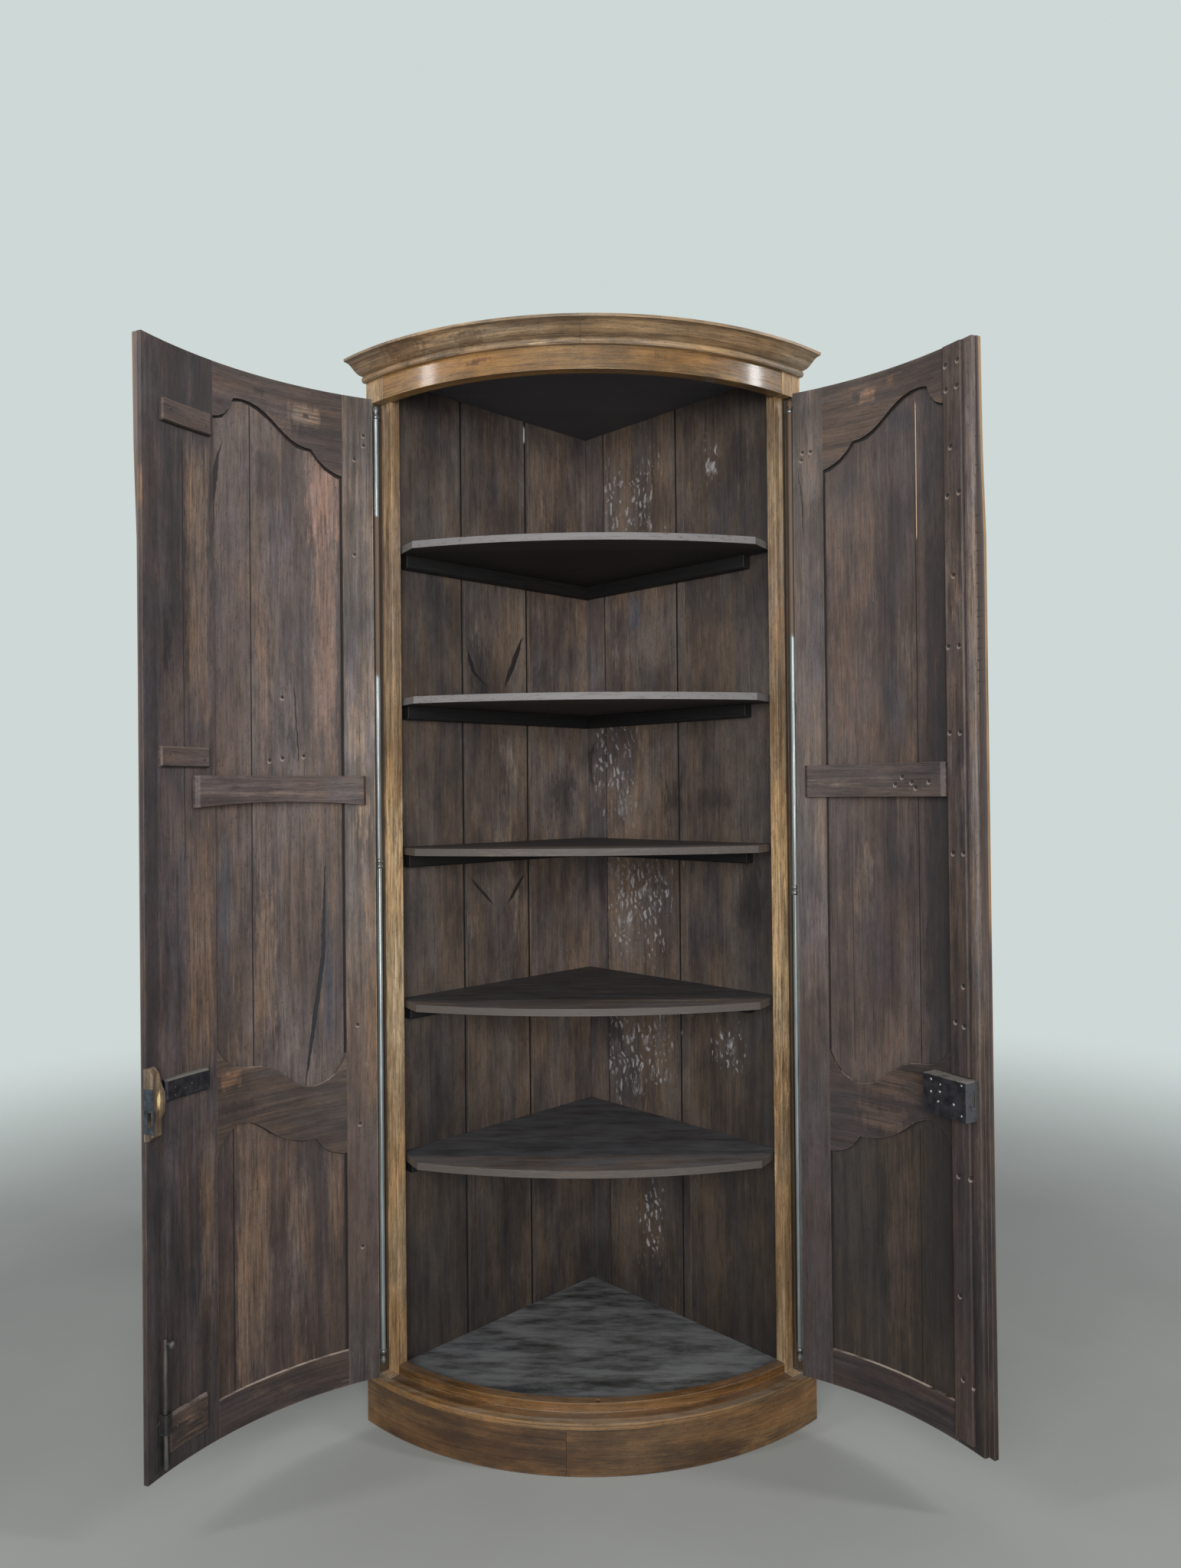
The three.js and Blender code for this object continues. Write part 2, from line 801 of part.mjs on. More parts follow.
function mid_rail(name, side) {
  const section_of = (bearing) => [
    ...grooved(foot_edge(bearing), 1),
    ...grooved(dip_edge(bearing), -1).reverse(),
  ];
  const low_of = (bearing) => foot_edge(bearing) + groove_depth;
  const high_of = (bearing) => dip_edge(bearing) - groove_depth;
  return rail(name, side, section_of, low_of, high_of);
}

function foot_rail(name, side) {
  const section_of = () => [
    [door_inner, door_foot],
    [front_radius, door_foot],
    ...grooved(bottom_rail_head, -1).reverse(),
  ];
  return rail(name, side, section_of, () => door_foot, () => bottom_rail_head - groove_depth);
}

// Fielded panel: thin edges in the grooves, bevels, and a field raised on the outside
function panel(name, side, low_edge, high_edge) {
  const inner = groove_inner + seat_gap;
  const face = inner + panel_thickness;
  const reach = arc_angle(panel_edge_depth, door_middle);
  const full = field_margin + field_slope;
  const section_of = (bearing) => {
    const share = panel_share(bearing);
    const from_stile = Math.min(share, 1 - share) * panel_width;
    const climb = THREE.MathUtils.clamp((from_stile - field_margin) / field_slope, 0, 1);
    const field = face + field_rise * climb;
    const low = low_edge(bearing);
    const high = high_edge(bearing);
    return [
      [inner, low - panel_edge_depth],
      [face - panel_edge_bevel, low - panel_edge_depth],
      [face - panel_shoulder, low + field_margin],
      [field, low + full],
      [field, high - full],
      [face - panel_shoulder, high - field_margin],
      [face - panel_edge_bevel, high + panel_edge_depth],
      [inner, high + panel_edge_depth],
    ];
  };
  const bearings = [
    hinge_stile_angle + reach,
    hinge_stile_angle,
    ...inner_bearings(),
    meeting_stile_angle,
    meeting_stile_angle - reach,
  ];
  return piece(name, bow_loft(side, bearings, section_of), dark_oak);
}

// The groove in a stile's edge, from its inner to its outer face; away is 1 or -1
function stile_groove(bearing, away) {
  const bottom = bearing + away * arc_angle(groove_depth, door_middle);
  return [
    bow_point(groove_inner, bearing),
    bow_point(groove_inner, bottom),
    bow_point(groove_outer, bottom),
    bow_point(groove_outer, bearing),
  ];
}

function hinge_stile(name, side) {
  const outline = [
    ...bow_arc(door_inner, hinge_edge_angle, hinge_stile_angle),
    ...stile_groove(hinge_stile_angle, 1),
    ...bow_arc(front_radius, hinge_stile_angle, hinge_edge_angle),
  ];
  return piece(name, prism(mirrored(outline, side), door_foot, door_head), dark_oak);
}

// Meeting stiles lap: the inner half of the left passes behind the outer half of the right.
// The inner edge of each is eased, and the outer half is planed towards its head.
function meeting_stile_shape(side, inner_end, outer_end, lap_radius, ease) {
  const eased = ease_shares.map(([out, along]) => (
    bow_point(door_inner + ease * out, inner_end + arc_angle(ease * along, door_inner))));
  const inner_arc = bow_arc(door_inner, inner_end + arc_angle(ease, door_inner), meeting_stile_angle);
  const steps = arc_steps(meeting_stile_angle, outer_end);
  const sections = planing_shares.map(([height_share, planing]) => {
    const end = outer_end + side * lip_planing_angle * planing;
    const outline = [
      ...eased,
      ...inner_arc.slice(1),
      ...stile_groove(meeting_stile_angle, -1),
      ...bow_arc(front_radius, meeting_stile_angle, end, steps),
      bow_point(lap_radius, end),
      bow_point(lap_radius, inner_end),
    ];
    const height = THREE.MathUtils.lerp(door_foot, door_head, height_share);
    return mirrored(outline, side).map((p) => p.setZ(height));
  });
  const caps = [sections[0], sections[sections.length - 1]].map((section) => (
    section.map((p) => new THREE.Vector2(p.x, p.y))));
  return loft(sections, caps[0], caps[1]);
}

function left_meeting_stile() {
  const lap = door_middle - lap_gap / 2;
  const [inner_end, outer_end] = [left_inner_end_angle, left_outer_end_angle];
  const shape = meeting_stile_shape(-1, inner_end, outer_end, lap, left_lap_ease);
  return piece('left_meeting_stile', shape, dark_oak);
}

// Keyhole through the right meeting stile: a round eye over a narrower slot
function keyhole() {
  const inner = door_inner - cut_overrun;
  const outer = front_radius + cut_overrun;
  const centre = lock_centre + key_rise;
  const half = key_slot_width / 2;
  const eye = new THREE.CylinderGeometry(key_radius, key_radius, outer - inner, round_segments);
  eye.translate(0, -(inner + outer) / 2, centre);
  const slot = block(-half, half, inner, outer, centre - key_slot_drop, centre);
  return turned(joined(eye, slot), key_angle);
}

function right_meeting_stile() {
  const lap = door_middle + lap_gap / 2;
  const [inner_end, outer_end] = [right_inner_end_angle, right_outer_end_angle];
  const shape = meeting_stile_shape(1, inner_end, outer_end, lap, right_lap_ease);
  return piece('right_meeting_stile', cut(shape, keyhole()), dark_oak);
}

// Batten across the inside of a door, its ends bevelled and its lower edge hollowed
function batten(name, side, rise, width, arch, meeting_end) {
  const outer = door_inner - seat_gap;
  const inner = outer - batten_thickness;
  const bevel = arc_angle(batten_bevel, door_inner);
  const foot = door_foot + rise;
  const steps = Math.ceil((batten_hinge_angle - meeting_end) / bow_step_angle);
  const middle = Array.from({ length: steps + 1 }, (unused, step) => (
    THREE.MathUtils.lerp(batten_hinge_angle - bevel, meeting_end + bevel, step / steps)));
  const section_of = (bearing) => {
    const at_end = bearing === batten_hinge_angle || bearing === meeting_end;
    const back = at_end ? inner + batten_bevel : inner;
    const share = (batten_hinge_angle - bearing) / (batten_hinge_angle - meeting_end);
    const low = foot + arch * share * (1 - share) * 4;
    return [[back, low], [outer, low], [outer, foot + width], [back, foot + width]];
  };
  const shape = bow_loft(side, [batten_hinge_angle, ...middle, meeting_end], section_of);
  return piece(name, shape, dark_oak);
}

function left_batten() {
  const [rise, width, arch] = [left_batten_rise, left_batten_width, left_batten_arch];
  return batten('left_batten', -1, rise, width, arch, left_batten_angle);
}

function right_batten() {
  const [rise, width, arch] = [right_batten_rise, right_batten_width, right_batten_arch];
  return batten('right_batten', 1, rise, width, arch, right_batten_angle);
}

function cover_strip(name, low, high) {
  const outer = door_inner - seat_gap;
  const inner = outer - strip_thickness;
  const bevel = arc_angle(strip_bevel, door_inner);
  const outline = [
    ...bow_arc(outer, strip_end_angle, strip_start_angle),
    bow_point(inner + strip_bevel, strip_start_angle),
    ...bow_arc(inner, strip_start_angle + bevel, strip_end_angle - bevel),
    bow_point(inner + strip_bevel, strip_end_angle),
  ];
  return piece(name, prism(outline, low, high), warm_oak);
}

// Leaf set against a wooden edge, and the web that joins it to the barrel
function hinge_leaf(towards, low, high) {
  const edge = Math.sin(radians(hinge_angle - hinge_edge_angle)) * front_radius;
  const far = edge - leaf_seat;
  const near = far - leaf_thickness;
  const outer = hinge_radius - leaf_offset;
  const foot = low + leaf_end_inset;
  const head = high - leaf_end_inset;
  const leaf = block(towards * near, towards * far, outer - leaf_width, outer, foot, head);
  const start = barrel_radius - web_bite;
  const reach = near + leaf_thickness / 2;
  const web = block(towards * start, towards * reach, outer - web_thickness, outer, foot, head);
  return joined(leaf, web);
}

// Turned end of a barrel: collar, neck and bulb, from the barrel outwards; up is 1 or -1
function finial_profile(end, up) {
  return [
    [barrel_radius, end - up * collar_height],
    [collar_radius, end - up * collar_height * 0.75],
    [collar_radius, end - up * collar_height * 0.25],
    [finial_neck_radius, end],
    [finial_neck_radius, end + up * finial_height * 0.2],
    [finial_bulb_radius, end + up * finial_height * 0.5],
    [finial_neck_radius, end + up * finial_height * 0.85],
    [0, end + up * finial_height],
  ];
}

function fixed_hinge(name, side, split) {
  const foot = door_foot + barrel_foot_rise;
  const barrel = turning([
    ...finial_profile(foot, -1).reverse(),
    [barrel_radius, split],
    [pin_radius, split],
    [pin_radius, split + pin_length],
    [0, split + pin_length],
  ]);
  barrel.translate(0, -hinge_radius, 0);
  const whole = joined(barrel, hinge_leaf(side, foot, split));
  return piece(name, turned(whole, side * hinge_angle), bright_iron);
}

function moving_hinge(name, side, split) {
  const head = door_head - barrel_head_drop;
  const foot = split + split_gap;
  const bore = pin_radius + pin_clearance;
  const bore_head = foot + pin_length + bore_spare;
  const barrel = turning([
    [0, bore_head],
    [bore, bore_head],
    [bore, foot],
    [barrel_radius, foot],
    ...finial_profile(head, 1),
  ]);
  barrel.translate(0, -hinge_radius, 0);
  const whole = joined(barrel, hinge_leaf(-side, foot, head));
  return piece(name, turned(whole, side * hinge_angle), bright_iron);
}

// The space that the lock bolt fills along its path, grown by a clearance
function bolt_path(from, to, clearance) {
  const half = bolt_thickness / 2 + clearance;
  const low = lock_centre - bolt_height / 2 - clearance;
  const high = lock_centre + bolt_height / 2 + clearance;
  return block(from, to, bolt_plane - half, bolt_plane + half, low, high);
}

// Lock case: a box open towards the door, with a slot for the bolt and a rib that guides it
function lock_case() {
  const half = lock_length / 2;
  const front = lock_plane - lock_depth;
  const shell = block(-half, half, front, lock_plane, lock_foot, lock_head);
  const hollow = block(
    -half + lock_wall,
    half - lock_wall,
    front + lock_wall,
    lock_plane + cut_overrun,
    lock_foot + lock_wall,
    lock_head - lock_wall,
  );
  const rib_start = -half + rib_inset;
  const rib_end = rib_start + lock_wall;
  const rib_low = lock_centre - rib_height / 2;
  const rib_high = lock_centre + rib_height / 2;
  const rib = block(rib_start, rib_end, front + lock_wall / 2, lock_plane - lock_wall, rib_low, rib_high);
  const ribbed = joined(cut(shell, hollow), rib);
  const path = bolt_path(-half - cut_overrun, half - lock_wall * 2, bolt_clearance);
  return piece('lock_case', turned(cut(ribbed, path), lock_angle), dark_iron);
}

// Lock bolt: a flat bar with a square head and a notch that the key lifts
function lock_bolt() {
  const head = -lock_length / 2 + bolt_head_inset;
  const bar = bolt_path(head, head + bolt_length, 0);
  const notch_start = head + bolt_length / 2;
  const foot = lock_centre - bolt_height / 2;
  const notch = block(
    notch_start,
    notch_start + bolt_notch_width,
    bolt_plane - bolt_thickness,
    bolt_plane + bolt_thickness,
    foot - cut_overrun,
    foot + bolt_notch_depth,
  );
  return piece('lock_bolt', turned(cut(bar, notch), lock_angle), bright_iron);
}

// The keeper's space against the end of the strike block, grown by a clearance
function keeper_space(clearance, front) {
  const outer = door_inner - seat_gap;
  const inner = outer - keeper_width;
  const low = lock_centre - keeper_drop - clearance;
  const high = low + keeper_height + clearance * 2;
  const back = -keeper_thickness - clearance;
  return turned(block(back, front, inner - clearance, outer + clearance, low, high), block_start_angle);
}

// Hole for the bolt head, through the keeper and into the strike block
function bolt_mortise() {
  const face = -bolt_plane * Math.tan(radians(lock_angle - block_start_angle));
  return turned(bolt_path(face - mortise_depth, face + cut_overrun, keeper_slot_fit), lock_angle);
}

// Strike block on the left door: inner edges rounded, two ends tapered, widest at its waist
function strike_block() {
  const outer = door_inner - seat_gap;
  const round = arc_angle(block_round, door_inner);
  const section = (depth, narrowing) => {
    const inner = outer - depth;
    const end = block_end_angle + block_narrowing * narrowing;
    return [
      bow_point(outer, block_start_angle),
      bow_point(inner + block_round / 3, block_start_angle),
      bow_point(inner, block_start_angle - round / 3),
      bow_point(inner, end + round),
      bow_point(inner + block_round / 3, end + round / 3),
      bow_point(inner + block_round, end),
      bow_point(outer, end),
    ];
  };
  const foot = lock_centre - block_drop;
  const head = foot + block_height;
  const foot_narrowing = block_narrow_shares[0];
  const waist = block_height_shares.map((share, i) => {
    return [foot + block_height * share, block_depth, block_narrow_shares[i]];
  });
  const levels = [
    [foot, block_depth - block_taper, foot_narrowing],
    [foot + block_taper, block_depth, foot_narrowing],
    ...waist,
    [head - block_taper, block_depth, 1],
    [head, block_depth - block_taper, 1],
  ];
  const sections = levels.map(([height, depth, narrowing]) => {
    return section(depth, narrowing).map((p) => p.setZ(height));
  });
  const outline = sections[0].map((p) => new THREE.Vector2(p.x, p.y));
  const body = loft(sections, outline, outline);
  const shape = cut(body, keeper_space(seat_gap, cut_overrun), bolt_mortise());
  return piece('strike_block', shape, dark_oak);
}

function keeper() {
  return piece('keeper', cut(keeper_space(0, 0), bolt_mortise()), dark_iron);
}

// Floor bolt: a round rod with a pointed foot and a turned knob that faces into the cupboard
function floor_bolt() {
  const head = rod_foot + rod_length;
  const rod = turning([
    [0, rod_foot],
    [rod_radius - rod_tip / 2, rod_foot],
    [rod_radius, rod_foot + rod_tip],
    [rod_radius, head - rod_tip / 2],
    [rod_radius - rod_tip / 2, head],
    [0, head],
  ]);
  const tip = rod_radius + knob_neck_length + knob_length;
  const knob = turning([
    [0, 0],
    [knob_neck_radius, 0],
    [knob_neck_radius, rod_radius + knob_neck_length],
    [knob_radius, tip - knob_length * 0.7],
    [knob_radius, tip - knob_length * 0.3],
    [knob_radius / 2, tip],
    [0, tip],
  ]);
  knob.rotateX(-radians(quarter_turn)).translate(0, 0, head - knob_drop);
  const whole = joined(rod, knob).translate(0, -rod_plane, 0);
  return piece('floor_bolt', turned(whole, rod_angle), bright_iron);
}

// Guide on the left door: an upright plate with clipped corners, and a box bored for the rod
function bolt_guide() {
  const half = guide_width / 2;
  const seat = door_inner * Math.cos(Math.asin(plate_width / 2 / door_inner)) - seat_gap;
  const face = seat - plate_thickness;
  const front = face - guide_depth + plate_thickness;
  const foot = door_foot + guide_rise;
  const head = foot + guide_height;
  const outline = [
    new THREE.Vector3(-half, -face - plate_thickness / 2, 0),
    new THREE.Vector3(half, -face - plate_thickness / 2, 0),
    new THREE.Vector3(half, -front - guide_chamfer, 0),
    new THREE.Vector3(half - guide_chamfer, -front, 0),
    new THREE.Vector3(-half + guide_chamfer, -front, 0),
    new THREE.Vector3(-half, -front - guide_chamfer, 0),
  ];
  const bore = rod_radius + rod_clearance;
  const hole = turning([
    [0, foot - cut_overrun],
    [bore, foot - cut_overrun],
    [bore, head + cut_overrun],
    [0, head + cut_overrun],
  ]);
  const box = cut(prism(outline, foot, head), hole.translate(0, -rod_plane, 0));
  return piece('bolt_guide', turned(joined(guide_plate(seat, face), box), rod_angle), dark_iron);
}

function guide_plate(seat, face) {
  const low = ledge_top + plate_rise;
  const high = low + plate_height;
  const half = plate_width / 2;
  const corners = [
    [-half, low],
    [half, low],
    [half, high - plate_corner],
    [half - plate_corner, high],
    [-half + plate_corner, high],
    [-half, high - plate_corner],
  ];
  const at = (radius) => corners.map(([across, height]) => (
    new THREE.Vector3(across, -radius, height)));
  return loft([at(seat), at(face)], flat_outline(corners), flat_outline(corners));
}

// Swings the pieces of a door, drawn closed, about its hinge
function opened(pieces, side, open_angle) {
  const pivot = bow_point(hinge_radius, side * hinge_angle);
  const door = new THREE.Group();
  door.position.copy(pivot);
  door.rotation.z = side * radians(open_angle);
  pieces.forEach((mesh) => {
    mesh.position.set(-pivot.x, -pivot.y, 0);
    door.add(mesh);
  });
  return door;
}

function door_frame(prefix, side) {
  return [
    hinge_stile(`${prefix}_hinge_stile`, side),
    top_rail(`${prefix}_top_rail`, side),
    mid_rail(`${prefix}_mid_rail`, side),
    foot_rail(`${prefix}_bottom_rail`, side),
    panel(`${prefix}_upper_panel`, side, dip_edge, arch_edge),
    panel(`${prefix}_lower_panel`, side, () => bottom_rail_head, foot_edge),
  ];
}

function left_door() {
  return opened([
    ...door_frame('left', -1),
    left_meeting_stile(),
    left_batten(),
    moving_hinge('left_hinge_upper', -1, door_foot + left_split_rise),
    strike_block(),
    keeper(),
    floor_bolt(),
    bolt_guide(),
  ], -1, left_open_angle);
}

function right_door() {
  return opened([
    ...door_frame('right', 1),
    right_meeting_stile(),
    right_batten(),
    moving_hinge('right_hinge_upper', 1, door_foot + right_split_rise),
    cover_strip('cover_strip_lower', ledge_top + strip_end_gap, lock_foot - strip_lock_gap),
    cover_strip('cover_strip_upper', lock_head + strip_lock_gap, door_head - strip_end_gap),
    lock_case(),
    lock_bolt(),
  ], 1, right_open_angle);
}

// Plinth in two boards that meet a little left of the middle
function plinth() {
  const joint = -plinth_joint_angle;
  const left_start = (radius) => -wall_limit(radius);
  const left_end = (radius) => joint - arc_angle(seat_gap, radius);
  return [
    plinth_board('plinth_left', left_start, left_end),
    plinth_board('plinth_right', () => joint, wall_limit),
    plinth_moulding(),
  ];
}

// The left cleat of each pair butts against the right one in the corner
function shelf_set(height_share, i) {
  const top = THREE.MathUtils.lerp(floor_top, ceiling_foot, height_share);
  const left_start = wall_inner + cleat_thickness + seat_gap;
  const left_end = wall_reach - left_cleat_setback;
  const right_end = wall_reach - right_cleat_setback;
  return [
    shelf(`shelf_${i + 1}`, top),
    cleat(`left_cleat_${i + 1}`, -1, left_start, left_end, top),
    cleat(`right_cleat_${i + 1}`, 1, wall_inner, right_end, top),
  ];
}

function carcass() {
  const body = new THREE.Group();
  body.add(
    crown_half('cornice_left', -1),
    crown_half('cornice_right', 1),
    frieze_rail(),
    front_post('left_post', -1),
    front_post('right_post', 1),
    bottom_rail(),
    ...plinth(),
    floor_board(),
    top_board(),
    wall_board('rear_corner_post', 1, 0, corner_post_width, false, true),
    ...wall_boards('left_wall_board', -1, wall_inner, left_board_count, false),
    ...wall_boards('right_wall_board', 1, corner_post_width, right_board_count, true),
    fixed_hinge('left_hinge_lower', -1, door_foot + left_split_rise),
    fixed_hinge('right_hinge_lower', 1, door_foot + right_split_rise),
    ...shelf_height_shares.flatMap(shelf_set),
  );
  return body;
}

const cupboard = new THREE.Group();
cupboard.add(carcass(), left_door(), right_door());

export default cupboard;
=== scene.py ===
import json
import math

import bmesh
import bpy
import numpy as np
from mathutils import Matrix, Vector

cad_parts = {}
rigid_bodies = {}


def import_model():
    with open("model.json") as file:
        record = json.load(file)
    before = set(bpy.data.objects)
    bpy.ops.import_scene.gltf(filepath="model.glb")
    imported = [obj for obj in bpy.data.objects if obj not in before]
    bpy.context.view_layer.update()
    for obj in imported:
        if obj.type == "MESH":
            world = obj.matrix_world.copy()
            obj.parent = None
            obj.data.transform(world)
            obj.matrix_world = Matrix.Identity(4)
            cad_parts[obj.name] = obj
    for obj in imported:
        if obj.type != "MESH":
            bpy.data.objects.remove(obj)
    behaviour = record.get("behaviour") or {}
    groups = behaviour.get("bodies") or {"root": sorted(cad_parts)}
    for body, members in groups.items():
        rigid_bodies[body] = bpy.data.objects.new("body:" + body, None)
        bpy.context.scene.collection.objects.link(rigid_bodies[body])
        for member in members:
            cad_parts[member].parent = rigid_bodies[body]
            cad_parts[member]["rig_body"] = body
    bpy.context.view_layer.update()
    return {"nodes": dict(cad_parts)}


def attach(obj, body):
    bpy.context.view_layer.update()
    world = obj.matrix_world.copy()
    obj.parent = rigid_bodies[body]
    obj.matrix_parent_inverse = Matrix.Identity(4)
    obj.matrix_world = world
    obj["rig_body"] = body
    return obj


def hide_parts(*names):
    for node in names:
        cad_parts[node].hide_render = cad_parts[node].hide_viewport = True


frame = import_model()

LEFT, RIGHT = -1, 1

# Sizes shared with the solids, in metres and degrees
door_inner = 0.663
door_middle = 0.674
bow_setback = 0.032
pin_across = 0.449152
pin_forward = -0.486515
swing = {LEFT: 116.0, RIGHT: 112.5}
seat_gap = 0.0003
lock_angle = 9.3
lock_front = 0.62677
panel_inner = 0.6701
panel_hinge_edge = 34.2
panel_meeting_edge = 9.9
arch_foot, arch_rise = 2.032, 0.118
foot_scroll_foot, foot_scroll_rise = 0.603, 0.108
strap_thickness = 0.012
short_cleat_thickness = 0.0085
body_of = {LEFT: "left_leaf", RIGHT: "right_leaf"}
post_face = 0.475

# Joints between the wall boards: lengths along each wall from the corner
left_wall_joints = (0.230, 0.429)
right_wall_joint = 0.329

# Heights of the notches worn into the right door's lip. They were picked in the photograph
# and turned into metres outside this script, by one straight-line formula.
lip_notches = (2.0184, 1.9646, 1.8698, 1.8373, 1.8033, 1.7764, 1.7425, 1.717, 1.6915, 1.6802,
               1.6618, 1.6392, 1.6208, 1.5982, 1.5798, 1.5585, 1.5359)

# Pegs of the cover strips: bearings and heights. They were picked in the photograph and
# turned into these numbers outside this script, with a camera fitted to the photograph.
strip_pegs = ((9.4, 2.169), (6.85, 2.170), (9.3, 2.122), (7.1, 2.122), (8.5, 2.0105),
              (9.27, 1.919), (6.85, 1.920), (8.19, 1.765), (9.42, 1.631), (7.23, 1.630),
              (9.35, 1.467), (7.18, 1.466), (8.97, 1.237), (6.79, 1.238), (7.16, 0.987),
              (8.84, 0.917), (7.1, 0.912), (8.6, 0.626), (6.2, 0.628), (8.6, 0.3995),
              (5.7, 0.406), (8.2, 0.244), (6.0, 0.238))


# Places

def door_place(side, radius, bearing, height):
    """Places on an open door. Each starts on the closed bow, at a radius and a bearing from the
    middle towards the hinge, and is then turned about the hinge pin by the door's swing."""
    radius, bearing, height = np.broadcast_arrays(
        np.asarray(radius, float), np.asarray(bearing, float), np.asarray(height, float))
    turn = np.radians(bearing)
    across = side * radius * np.sin(turn) - side * pin_across
    forward = bow_setback - radius * np.cos(turn) - pin_forward
    swung = math.radians(side * swing[side])
    x = side * pin_across + across * math.cos(swung) - forward * math.sin(swung)
    y = pin_forward + across * math.sin(swung) + forward * math.cos(swung)
    return np.stack([x, y, height], axis=-1)


def door_centre(side):
    """Centre of the bow of an open door."""
    return tuple(float(v) for v in door_place(side, 0.0, 0.0, 0.0)[:2]) + (0.0,)


def door_outward(side, bearing):
    """Unit direction that points into the cupboard side of a door, towards its bow's centre."""
    return door_place(side, 0.0, bearing, 0.0) - door_place(side, 1.0, bearing, 0.0)


def along_door(side, bearing):
    """Length along the bow of an open door, as the grain materials measure it."""
    return math.radians(side * (bearing + swing[side])) * door_middle


# Surfaces

def closed_skins(name, stacks):
    """Closed surfaces, each through a stack of rings; the array is (stacks, rings, corners, 3).
    Neighbouring rings are joined by quads and the end rings are filled. The faces are turned
    outward where the quads' normals point away from the middle of their rings."""
    stacks = np.asarray(stacks, float)
    if stacks.ndim == 3:
        stacks = stacks[None]
    shells, rings, corners = stacks.shape[:3]
    index = np.arange(shells * rings * corners).reshape(shells, rings, corners)
    after = np.roll(index, -1, axis=2)
    quads = np.stack([index[:, :-1], after[:, :-1], after[:, 1:], index[:, 1:]], axis=-1)
    points = stacks.reshape(-1, 3)
    corner = points[quads]
    normal = np.cross(corner[..., 2, :] - corner[..., 0, :], corner[..., 3, :] - corner[..., 1, :])
    middle = stacks.mean(axis=2)
    core = (middle[:, :-1] + middle[:, 1:])[:, :, None, :] / 2
    outward = (normal * (corner.mean(axis=-2) - core)).sum(axis=(1, 2, 3)) > 0
    faces = []
    for shell in range(shells):
        ends = [index[shell, 0][::-1], index[shell, -1]]
        whole = [*quads[shell].reshape(-1, 4), *ends]
        faces += [(face if outward[shell] else face[::-1]).tolist() for face in whole]
    mesh = bpy.data.meshes.new(name)
    mesh.from_pydata(points, [], faces)
    mesh.update()
    piece = bpy.data.objects.new(name, mesh)
    bpy.context.scene.collection.objects.link(piece)
    return piece


def finished(piece, body, material, smooth=None, bevel=0.0):
    """Gives a piece its body and its material, and eases its edges."""
    piece.data.materials.clear()
    piece.data.materials.append(material)
    if smooth is not None:
        piece.data.polygons.foreach_set("use_smooth", [True] * len(piece.data.polygons))
        piece.data.set_sharp_from_angle(angle=math.radians(smooth))
    if bevel:
        ease = piece.modifiers.new("eased edges", "BEVEL")
        ease.width = bevel
        ease.segments = 2
        ease.limit_method = "ANGLE"
        ease.angle_limit = math.radians(32)
        ease.harden_normals = True
    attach(piece, body)
    return piece


def worn_copy(node, material, bevel=0.0009, smooth=32):
    """The solid's own shape with its corners merged, its faces shaded along the bow and its
    edges eased; it stands for the solid."""
    source = frame["nodes"][node]
    body = source["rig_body"]
    mesh = source.data.copy()
    piece = bpy.data.objects.new(node + "_worn", mesh)
    bpy.context.scene.collection.objects.link(piece)
    merge_corners(mesh)
    finished(piece, body, material, smooth=smooth, bevel=bevel)
    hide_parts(node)
    return piece


def merge_corners(mesh):
    """Joins the loose triangles' shared corners: corners nearer than two hundredths of a
    millimetre become one, and edges between faces in one plane go."""
    soft = bmesh.new()
    soft.from_mesh(mesh)
    bmesh.ops.remove_doubles(soft, verts=soft.verts, dist=0.00002)
    bmesh.ops.dissolve_limit(soft, angle_limit=0.002, verts=soft.verts, edges=soft.edges)
    soft.to_mesh(mesh)
    soft.free()


def bow_bar(name, side, bearings, radii, heights):
    """A bar along the bow of a door: a profile of radii and heights, one row for each bearing."""
    bearings = np.asarray(bearings, float)[:, None]
    return closed_skins(name, door_place(side, radii, bearings, heights))


def chamfered_bar(name, side, start, end, low, high, thickness, chamfer):
    """A flat bar on the inside of a door: a rectangle with its two inner edges cut, thinned
    over its last few millimetres at both ends."""
    bearings = np.linspace(start, end, 12)
    cut_angle = math.degrees(chamfer / door_inner)
    bearings = np.sort(np.append(bearings, [start + cut_angle, end - cut_angle]))
    outer = door_inner - seat_gap
    depth = np.interp(bearings, [start, start + cut_angle, end - cut_angle, end],
                      [thickness - chamfer, thickness, thickness, thickness - chamfer])[:, None]
    edge = outer - np.maximum(depth - chamfer, thickness * 0.2)
    inner = outer - depth
    outer = np.full_like(inner, outer)
    radii = np.concatenate([outer, edge, inner, inner, edge, outer], axis=1)
    heights = np.array([[low, low, low + chamfer, high - chamfer, high, high]])
    return bow_bar(name, side, bearings, radii, np.repeat(heights, len(bearings), axis=0))


dome = np.array([[1.0, -0.6], [1.0, 0.25], [0.86, 0.62], [0.55, 0.9], [0.16, 1.0]])


